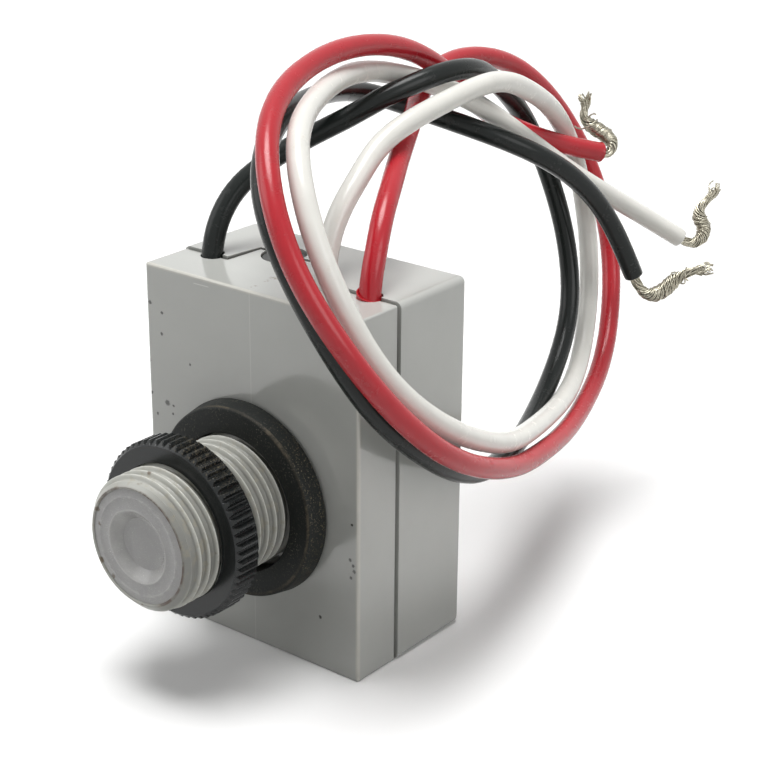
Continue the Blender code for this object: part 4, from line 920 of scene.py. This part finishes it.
class PHOTOCELL_OT_stage(bpy.types.Operator):
    """Set up the floor, the soft light and the camera"""

    bl_idname = "photocell.stage"
    bl_label = "Stage"

    def execute(self, context):
        look = context.scene.photocell_stage
        context.scene.view_settings.view_transform = "Standard"
        self.add_camera(context)
        self.add_floor(look)
        self.add_lights(look)
        self.add_world(context, look)
        return {"FINISHED"}

    def add_camera(self, context):
        turn, height = CAMERA_TURN, CAMERA_HEIGHT
        flat = math.cos(height)
        back = Vector((math.sin(turn) * flat, -math.cos(turn) * flat, math.sin(height)))
        right = (-back).cross(Vector(UPWARD)).normalized()
        up = back.cross(right)
        axes = Matrix((right, up, back)).transposed().to_4x4()
        data = bpy.data.cameras.new("camera")
        data.lens = CAMERA_LENS
        data.clip_start = 0.01
        camera = link("camera", data)
        camera.matrix_world = Matrix.Translation(CAMERA_PLACE) @ axes @ Matrix.Rotation(CAMERA_ROLL, 4, "Z")
        context.scene.camera = camera

    def add_floor(self, look):
        bm = bmesh.new()
        bmesh.ops.create_grid(bm, x_segments=1, y_segments=1, size=FLOOR_SIZE)
        floor = from_bmesh("floor", bm)
        finish = Finish("floor", Roughness=0.7, Specular_IOR_Level=0.2)
        seen = finish.seen()
        finish.set(Base_Color=finish.mix(tuple(look.bounce), tuple(look.floor), seen))
        floor.data.materials.append(finish.material)

    def add_lights(self, look):
        for name, energy, origin in (("overhead", look.key, KEY_FROM), ("right_side", look.side, SIDE_FROM)):
            sun = bpy.data.lights.new(name, "SUN")
            sun.energy = energy
            sun.angle = look.softness
            self.aim(link(name, sun), origin)
        area = bpy.data.lights.new("front_fill", "AREA")
        area.size = FILL_SIZE
        area.energy = look.fill
        lamp = link("front_fill", area)
        lamp.location = FILL_PLACE
        self.aim(lamp, Vector(FILL_PLACE) - Vector(FILL_AIM))

    def aim(self, lamp, origin):
        lamp.rotation_euler = Vector(origin).to_track_quat("Z", "Y").to_euler()

    def add_world(self, context, look):
        world = bpy.data.worlds.new("studio")
        world.use_nodes = True
        tree = Tree(world.node_tree)
        seen = tree.seen()
        background = world.node_tree.nodes["Background"]
        background.inputs["Color"].default_value = (1, 1, 1, 1)
        strength = seen * (1 - look.ambient) + look.ambient
        world.node_tree.links.new(strength.socket, background.inputs["Strength"])
        context.scene.world = world


class PHOTOCELL_OT_leads(bpy.types.Operator):
    """Run the three insulated leads along their routes, with their bare twisted ends"""

    bl_idname = "photocell.leads"
    bl_label = "Leads"

    def execute(self, context):
        look = context.scene.photocell_leads
        twisted = self.strand_recipe()
        metal = tinned_copper(look.tinned)
        for colour, points in ROUTES.items():
            route = smooth_route([ROUTE_ORIGIN + Vector(point) * MM for point in points], 1.4 * MM)
            lead = wire(f"{colour}_lead", route, look.radius, 5)
            name = f"{colour}_insulation"
            tone = tuple(getattr(look, colour))
            material = insulation(name, tone, LEAD_SOILS[colour], LEAD_GLOSSES[colour])
            lead.data.materials.append(material)
            self.round_cut_end(lead, CUT_LIPS[colour])
            if colour == "red":
                self.add_collar(material)
            heading = (route[-1] - route[-2]).normalized()
            start = route[-1] - heading * STRAND_START
            neck = route[-1] + heading * STRAND_NECK
            bare = [start, (start + neck) / 2]
            bare += [neck + Vector(point) * MM for point in STRAND_ROUTES[colour]]
            strands = self.add_strands(colour, smooth_route(bare, 0.4 * MM), twisted, look, metal)
            present(lead, BODY, name, f"lead_{colour}")
            present(strands, BODY, "tinned_strands", f"strands_{colour}")
            2 * look.radius
        return {"FINISHED"}

    def add_collar(self, material):
        """A curl of insulation pushed up where the red lead rubs in its hole, higher on its left."""
        middle = ROUTE_ORIGIN + Vector(ROUTES["red"][2]) * MM
        middle.z = REAR_HIGH.z - 0.1 * MM
        middle.x -= 0.12 * MM
        middle.y -= 0.25 * MM
        profile = [(radius * MM, height * MM) for radius, height in COLLAR_PROFILE]
        collar = turned("red_collar", profile, middle, COLLAR_AXIS, 48)
        present(plain(collar, material, 50), BODY, "red_insulation")

    def round_cut_end(self, lead, lip):
        """Break the sharp edge of the cut insulation, or flare it where the stripper dragged it."""
        points = lead.data.splines[0].points
        last, before = Vector(points[-1].co[:3]), Vector(points[-2].co[:3])
        back = (before - last).normalized()
        points.add(3)
        ends = ((0.35 * MM, (1 + lip) / 2), (0.12 * MM, lip), (0.0, lip - 0.09))
        points[-4].co = (*(last + back * 0.6 * MM), 1.0)
        for point, (distance, radius) in zip(points[-3:], ends):
            point.co = (*(last + back * distance), 1.0)
            point.radius = radius

    def strand_recipe(self):
        """Twist thin strands round a path, thicker at its middle, with loose ends and an open tip."""
        recipe = Recipe("twisted_strands", "Strand_Radius Bundle_Radius Bulge Twist Fray", "Strands Seed")
        path = recipe.geometry("ResampleCurve", Curve=recipe.input("Geometry"), Count=STRAND_POINTS)
        path = recipe.geometry("SetCurveNormal", {"mode": "MINIMUM_TWIST"}, Curve=path)
        sockets = {"Geometry": path, "Amount": recipe.input("Strands")}
        copies = recipe.node("GeometryNodeDuplicateElements", {"domain": "SPLINE"}, sockets)
        number = recipe.read(copies, "Duplicate Index")
        along = recipe.output("GeometryNodeSplineParameter", output="Factor")

        middle = recipe.ease(along, 0.14, 0.38) * recipe.ease(along, 0.7, 0.52)
        tail = recipe.ease(along, 0.66, 0.82)
        loose = self.chance(recipe, number, 1) > 0.86
        leaves = 0.4 + self.chance(recipe, number, 2) * 0.3
        leaving = recipe.ease(along - leaves, 0.0, 0.22) * loose
        opening = recipe.ease(along, 0.78, 1.0) * (0.2 + self.chance(recipe, number, 3) * 1.6)
        inner = number > recipe.input("Strands") * 0.56
        depth = (0.9 + self.chance(recipe, number, 4) * 0.22) * (1 - inner * 0.4)
        reach = (recipe.input("Bundle_Radius") - 0.15 * MM * tail + recipe.input("Bulge") * middle) * depth
        reach = reach + opening * recipe.input("Fray") + leaving * 1.7 * MM
        turns = recipe.input("Twist") * (along * 0.45 + recipe.ease(along, 0.1, 0.72) * 0.55)
        start = number / (recipe.input("Strands") * 0.56) + self.chance(recipe, number, 5) * 0.03
        angle = (start + turns - leaving * 0.2) * (2 * math.pi)

        normal = recipe.geometry("InputNormal")
        tangent = recipe.geometry("InputTangent")
        side = recipe.vector("CROSS_PRODUCT", {0: tangent, 1: normal})
        first = recipe.vector("SCALE", {0: normal, "Scale": recipe.math("COSINE", angle) * reach})
        second = recipe.vector("SCALE", {0: side, "Scale": recipe.math("SINE", angle) * reach})
        offset = recipe.vector("ADD", {0: first, 1: second})
        offset = recipe.vector("ADD", {0: offset, 1: self.unevenness(recipe, number, along)})
        wound = recipe.geometry("SetPosition", Geometry=recipe.read(copies), Offset=offset)

        tip = 0.88 + self.chance(recipe, number, 6) * 0.12
        tip = tip - loose * (tip - (leaves + 0.2))
        domain = {"domain": "POINT"}
        wound = recipe.geometry("DeleteGeometry", domain, Geometry=wound, Selection=along > tip)
        ring = recipe.geometry("CurvePrimitiveCircle", Resolution=7, Radius=recipe.input("Strand_Radius"))
        recipe.end(recipe.geometry("CurveToMesh", Curve=wound, Profile_Curve=ring, Fill_Caps=True))
        return recipe

    def chance(self, recipe, number, salt):
        """A number from 0 to 1 for each strand."""
        sockets = {"ID": number, "Seed": recipe.input("Seed") + salt * 17}
        return recipe.output("FunctionNodeRandomValue", {"data_type": "FLOAT"}, sockets, output=1)

    def unevenness(self, recipe, number, along):
        """A small wandering of each strand, larger in the loose tail."""
        here = recipe.geometry("InputPosition")
        apart = recipe.output("ShaderNodeCombineXYZ", None, {"X": number * 0.013})
        here = recipe.vector("ADD", {0: here, 1: apart})
        sockets = {"Vector": here, "Scale": 1 / (2.2 * MM), "Detail": 1.0}
        noise = recipe.node("ShaderNodeTexNoise", None, sockets)
        sway = recipe.vector("SUBTRACT", {0: recipe.read(noise, "Color"), 1: (0.5, 0.5, 0.5)})
        amount = recipe.ease(along, 0.0, 0.15) * 0.22 * MM + recipe.ease(along, 0.6, 1.0) * 1.1 * MM
        return recipe.vector("SCALE", {0: sway, "Scale": amount})

    def add_strands(self, colour, route, recipe, look, metal):
        path = wire(f"{colour}_strands", route, 0.0, 0)
        recipe.run(
            path,
            Strands=look.strands,
            Strand_Radius=look.strand_radius,
            Bundle_Radius=look.bundle_radius,
            Bulge=look.bulge,
            Twist=look.twist,
            Fray=look.fray,
            Seed=STRAND_SEEDS[colour],
            Material=metal,
        )
        return plain(path, None, 60)


class PHOTOCELL_OT_shells(bpy.types.Operator):
    """Mould the front and rear shells, split on the line of the leads"""

    bl_idname = "photocell.shells"
    bl_label = "Shells"

    def execute(self, context):
        look = context.scene.photocell_housing
        nipple = context.scene.photocell_nipple
        self.add_front(look, nipple)
        self.add_rear(look)
        return {"FINISHED"}

    def tongue(self, name, look, grow, low, high, rise=0.0):
        """The tongue over the adjuster, wider at its root and a little raised at its end."""
        parting = FRONT_Y + look.front_depth
        left, right = look.tongue_left - grow, look.tongue_right + grow
        outline = [
            (left - look.tongue_flare, parting - 0.4 * MM),
            (right + look.tongue_flare, parting - 0.4 * MM),
            (right, parting + look.tongue_reach + grow),
            (left, parting + look.tongue_reach + grow),
        ]
        bm = bmesh.new()
        face = bm.faces.new([bm.verts.new((x, y, low)) for x, y in outline])
        lifted = bmesh.ops.extrude_face_region(bm, geom=[face])["geom"]
        verts = [item for item in lifted if isinstance(item, bmesh.types.BMVert)]
        bmesh.ops.translate(bm, verts=verts, vec=(0, 0, high - low))
        for vert in verts:
            if vert.co.y > parting:
                vert.co.z += rise
        bmesh.ops.recalc_face_normals(bm, faces=bm.faces)
        return from_bmesh(name, bm)

    def cut_top(self, shell, look):
        """The split holes of the leads and the hole of the plug."""
        seam_y = FRONT_Y + look.front_depth + look.seam / 2
        low, high = REAR_HIGH.z - 5 * MM, REAR_HIGH.z + MM
        for x in LEAD_X.values():
            hole = rod(look.lead_hole, high, low)
            combine(shell, turned("lead_hole", hole, (x, seam_y, 0), UPWARD, 40))
        radius = (PLUG_HIGH.x - PLUG_LOW.x) / 2 + 0.16 * MM
        ledge = PLUG_HIGH.z - 1.6 * MM
        stem = radius - 1.2 * MM
        profile = [(0, high), (radius, high), (radius, ledge), (stem, ledge), (stem, low), (0, low)]
        combine(shell, turned("plug_hole", profile, (PLUG_X, PLUG_Y, 0), UPWARD, 56))

    def add_front(self, look, nipple):
        half, top = FRONT_HIGH.x, FRONT_HIGH.z
        parting = FRONT_Y + look.front_depth
        wall = look.wall
        shell = block("front_shell", (-half, FRONT_Y, 0), (half, parting, top), look.front_edge, 6, parting)
        low, high = (wall - half, FRONT_Y + wall, wall), (half - wall, parting + MM, top - wall)
        combine(shell, block("front_inside", low, high))
        combine(shell, self.tongue("tongue", look, 0.0, top - wall, top, TONGUE_RISE), "UNION")
        self.cut_top(shell, look)
        hole = rod(nipple.bore_radius, 2 * MM, -4 * MM)
        combine(shell, turned("wall_bore", hole, NIPPLE_ROOT, FORWARD, 64))
        shell = plain(shell, shell_plastic("front_shell_plastic", tuple(look.colour), True))
        present(shell, BODY, "grey_housing", "front_housing")

    def add_rear(self, look):
        half, top = REAR_HIGH.x, REAR_HIGH.z
        parting = FRONT_Y + look.front_depth + look.seam
        wall = look.rear_wall
        lip = 0.7 * MM
        corners = (-half, parting, 0), (half, REAR_HIGH.y, top)
        shell = block("rear_shell", *corners, look.rear_edge, 10, parting)
        ring_low = (wall - half - lip, REAR_LOW.y, wall - lip)
        ring_high = (half - wall + lip, parting + 0.4 * MM, top - wall + lip)
        combine(shell, block("rear_lip", ring_low, ring_high), "UNION")
        low = (wall - half, REAR_LOW.y - MM, wall)
        combine(shell, block("rear_inside", low, (half - wall, REAR_HIGH.y - wall, top - wall)))
        combine(shell, self.tongue("tongue_notch", look, look.seam, top - 4 * MM, top + MM))
        self.cut_top(shell, look)
        shell = plain(shell, shell_plastic("rear_shell_plastic", tuple(look.colour)))
        present(shell, BODY, "grey_housing", "rear_housing")


class PHOTOCELL_OT_nipple(bpy.types.Operator):
    """Cut the thread on the nipple with its lead-in and lens seat"""

    bl_idname = "photocell.nipple"
    bl_label = "Nipple"

    def execute(self, context):
        look = context.scene.photocell_nipple
        rows = round(NIPPLE_LENGTH / (look.pitch / THREAD_ROWS))
        seat_floor = LENS_HIGH.y
        floor_height = FRONT_Y - seat_floor - SEAT_GAP
        profile = [(look.crest_radius, NIPPLE_LENGTH * (1 - row / rows)) for row in range(rows + 1)]
        profile += [
            (look.bore_radius, 0),
            (look.bore_radius, floor_height),
            (look.seat_radius, floor_height),
            (look.seat_radius, NIPPLE_LENGTH - 0.12 * MM),
            (look.seat_radius + 0.12 * MM, NIPPLE_LENGTH),
        ]
        tube = turned("nipple", profile, NIPPLE_ROOT, FORWARD, THREAD_FACETS)
        recipe = self.thread_recipe()
        recipe.run(
            tube,
            Axis_X=NIPPLE_X,
            Axis_Z=NIPPLE_Z,
            Face_Y=FRONT_Y,
            Crest_Radius=look.crest_radius,
            Depth=look.depth,
            Pitch=look.pitch,
            Tip_Height=NIPPLE_LENGTH,
            Lead_In=look.lead_in,
            Start=look.start,
            Material=nipple_plastic(tuple(look.colour)),
        )
        present(plain(tube, None, 32), BODY, "grey_housing")
        return {"FINISHED"}

    def thread_recipe(self):
        """Press a helical groove into the tube's outer skin and trim the tip to a chamfer."""
        values = "Axis_X Axis_Z Face_Y Crest_Radius Depth Pitch Tip_Height Lead_In Start"
        recipe = AxisRecipe("nipple_thread", values)
        height = recipe.input("Face_Y") - recipe.along
        start = recipe.input("Start") + WHOLE_TURNS
        phase = recipe.math("FRACT", height / recipe.input("Pitch") - recipe.turn + start)
        groove = recipe.ease(1 - abs(phase * 2 - 1), *THREAD_FLANK)
        to_tip = recipe.input("Tip_Height") - height
        chamfer = recipe.input("Crest_Radius") - recipe.input("Lead_In") + to_tip
        wanted = recipe.smaller(recipe.radius - recipe.input("Depth") * groove, chamfer)
        recipe.reshape(wanted, recipe.radius > recipe.input("Crest_Radius") - 0.05 * MM)
        return recipe


class PHOTOCELL_OT_lens(bpy.types.Operator):
    """Fit the clear lens and the plug over the adjuster"""

    bl_idname = "photocell.lens"
    bl_label = "Lens and plug"

    def execute(self, context):
        radius = context.scene.photocell_nipple.seat_radius - 0.02 * MM
        front = FRONT_Y - LENS_LOW.y
        back = FRONT_Y - LENS_HIGH.y
        profile = [(out * MM, front - depth * MM) for out, depth in LENS_PROFILE]
        profile += [(radius, front - 0.2 * MM), (radius, back), (0, back)]
        lens = turned("lens_plug", profile, NIPPLE_ROOT, FORWARD, 96)
        present(plain(lens, clear_plastic(), 30), BODY, "clear_lens", "lens")

        radius = (PLUG_HIGH.x - PLUG_LOW.x) / 2
        top, low = PLUG_HIGH.z, PLUG_LOW.z
        ledge, stem = top - 1.1 * MM, radius - 1.2 * MM
        profile = [(0, top - 0.04 * MM), (radius - 0.5 * MM, top - 0.02 * MM)]
        profile += arc(radius - 0.2 * MM, top - 0.2 * MM, 0.2 * MM, 90, 0)
        profile += [(radius, ledge), (stem, ledge), (stem, low), (0, low)]
        plug = turned("adjuster_cap", profile, (PLUG_X, PLUG_Y, 0), UPWARD, 72)
        present(plain(plug, plug_plastic(), 30), BODY, "plug_plastic", "adjuster_plug")
        return {"FINISHED"}


class PHOTOCELL_OT_gasket(bpy.types.Operator):
    """Lay the rubber gasket against the box"""

    bl_idname = "photocell.gasket"
    bl_label = "Gasket"

    def execute(self, context):
        look = context.scene.photocell_nut
        front_radius = GASKET_RADIUS - GASKET_TAPER
        front = FRONT_Y - GASKET_LOW.y
        back = FRONT_Y - GASKET_HIGH.y
        edge = 0.4 * MM
        bore = look.bore_radius + 0.45 * MM
        profile = [
            *arc(bore + 0.2 * MM, front - 0.2 * MM, 0.2 * MM, 180, 90, 3),
            *arc(front_radius - edge, front - edge, edge, 90, 5),
            *arc(GASKET_RADIUS - 0.3 * MM, back + 0.3 * MM, 0.3 * MM, 5, -90),
            (bore, back),
        ]
        middle = (NIPPLE_X + look.gasket_right, FRONT_Y, NIPPLE_Z - look.gasket_down)
        gasket = turned("rubber_gasket", profile, middle, FORWARD, 144)
        present(plain(gasket, black_rubber(tuple(look.gasket_colour)), 40), BODY, "black_rubber", "gasket")
        return {"FINISHED"}


class PHOTOCELL_OT_lock_nut(bpy.types.Operator):
    """Cut the straight knurl on the lock nut"""

    bl_idname = "photocell.lock_nut"
    bl_label = "Lock nut"

    def execute(self, context):
        look = context.scene.photocell_nut
        outer = (NUT_HIGH.x - NUT_LOW.x) / 2
        front = FRONT_Y - NUT_LOW.y
        back = FRONT_Y - NUT_HIGH.y
        chamfer = look.chamfer
        face = outer - chamfer
        profile = [(look.bore_radius, front), (face - 0.4 * MM, front), (face, front)]
        slope = [(face + (outer - face) * step / 5, chamfer * step / 5) for step in range(6)]
        profile += [(radius, front - drop) for radius, drop in slope[1:]]
        profile += [(outer, front + (back - front) * step / 4) for step in range(1, 4)]
        profile += [(radius, back + drop) for radius, drop in reversed(slope)]
        profile += [(look.bore_radius, back)]
        ring = turned("knurled_nut", profile, NIPPLE_ROOT, FORWARD, look.teeth * FACETS_A_TOOTH)
        self.knurl_recipe().run(
            ring,
            Axis_X=NIPPLE_X,
            Axis_Z=NIPPLE_Z,
            Radius=outer,
            Depth=look.knurl_depth,
            Teeth=look.teeth,
            Material=nut_nylon(tuple(look.nut_colour)),
        )
        present(plain(ring, None, 30), NUT_BODY, "black_nylon", "lock_nut")
        return {"FINISHED"}

    def knurl_recipe(self):
        """Cut a V-shaped groove between each pair of teeth, as deep as the ring's edge allows."""
        recipe = AxisRecipe("straight_knurl", "Axis_X Axis_Z Radius Depth", "Teeth")
        phase = recipe.math("FRACT", (recipe.turn + 1) * recipe.input("Teeth"))
        groove = recipe.ease(1 - abs(phase * 2 - 1), *KNURL_FLANK)
        recipe.reshape(recipe.smaller(recipe.radius, recipe.input("Radius") - recipe.input("Depth") * groove))
        return recipe


class PHOTOCELL_OT_works(bpy.types.Operator):
    """Finish the light cell and the switch inside the box"""

    bl_idname = "photocell.works"
    bl_label = "Works"

    def execute(self, context):
        for slot, (colour, roughness, metallic, nodes) in INNER_FINISHES.items():
            material = inner_finish(slot, colour, roughness, metallic)
            for name in nodes.split():
                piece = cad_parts[name]
                piece.data.materials.clear()
                piece.data.materials.append(material)
        return {"FINISHED"}


class PHOTOCELL_PT_panel(bpy.types.Panel):
    """The photocell switch's settings and pieces"""

    bl_idname = "PHOTOCELL_PT_panel"
    bl_label = "Photocell switch"
    bl_space_type = "VIEW_3D"
    bl_region_type = "UI"
    bl_category = "Photocell"

    def draw(self, context):
        for operator in OPERATORS:
            self.layout.operator(operator.bl_idname)
        for attribute, group in LOOKS.items():
            box = self.layout.box()
            box.label(text=group.__doc__)
            for name in group.__annotations__:
                box.prop(getattr(context.scene, attribute), name)


LOOKS = {
    "photocell_housing": HousingLook,
    "photocell_nipple": NippleLook,
    "photocell_nut": NutLook,
    "photocell_leads": LeadLook,
    "photocell_stage": StageLook,
}
OPERATORS = (
    PHOTOCELL_OT_stage,
    PHOTOCELL_OT_leads,
    PHOTOCELL_OT_shells,
    PHOTOCELL_OT_nipple,
    PHOTOCELL_OT_lens,
    PHOTOCELL_OT_gasket,
    PHOTOCELL_OT_lock_nut,
    PHOTOCELL_OT_works,
)


def register():
    for group in (*LOOKS.values(), *OPERATORS, PHOTOCELL_PT_panel):
        bpy.utils.register_class(group)
    for attribute, group in LOOKS.items():
        setattr(bpy.types.Scene, attribute, PointerProperty(type=group))


def unregister():
    for attribute in LOOKS:
        delattr(bpy.types.Scene, attribute)
    for group in reversed((*LOOKS.values(), *OPERATORS, PHOTOCELL_PT_panel)):
        bpy.utils.unregister_class(group)


def main():
    register()
    for operator in OPERATORS:
        family, name = operator.bl_idname.split(".")
        getattr(getattr(bpy.ops, family), name)()


if __name__ == "__main__":
    main()
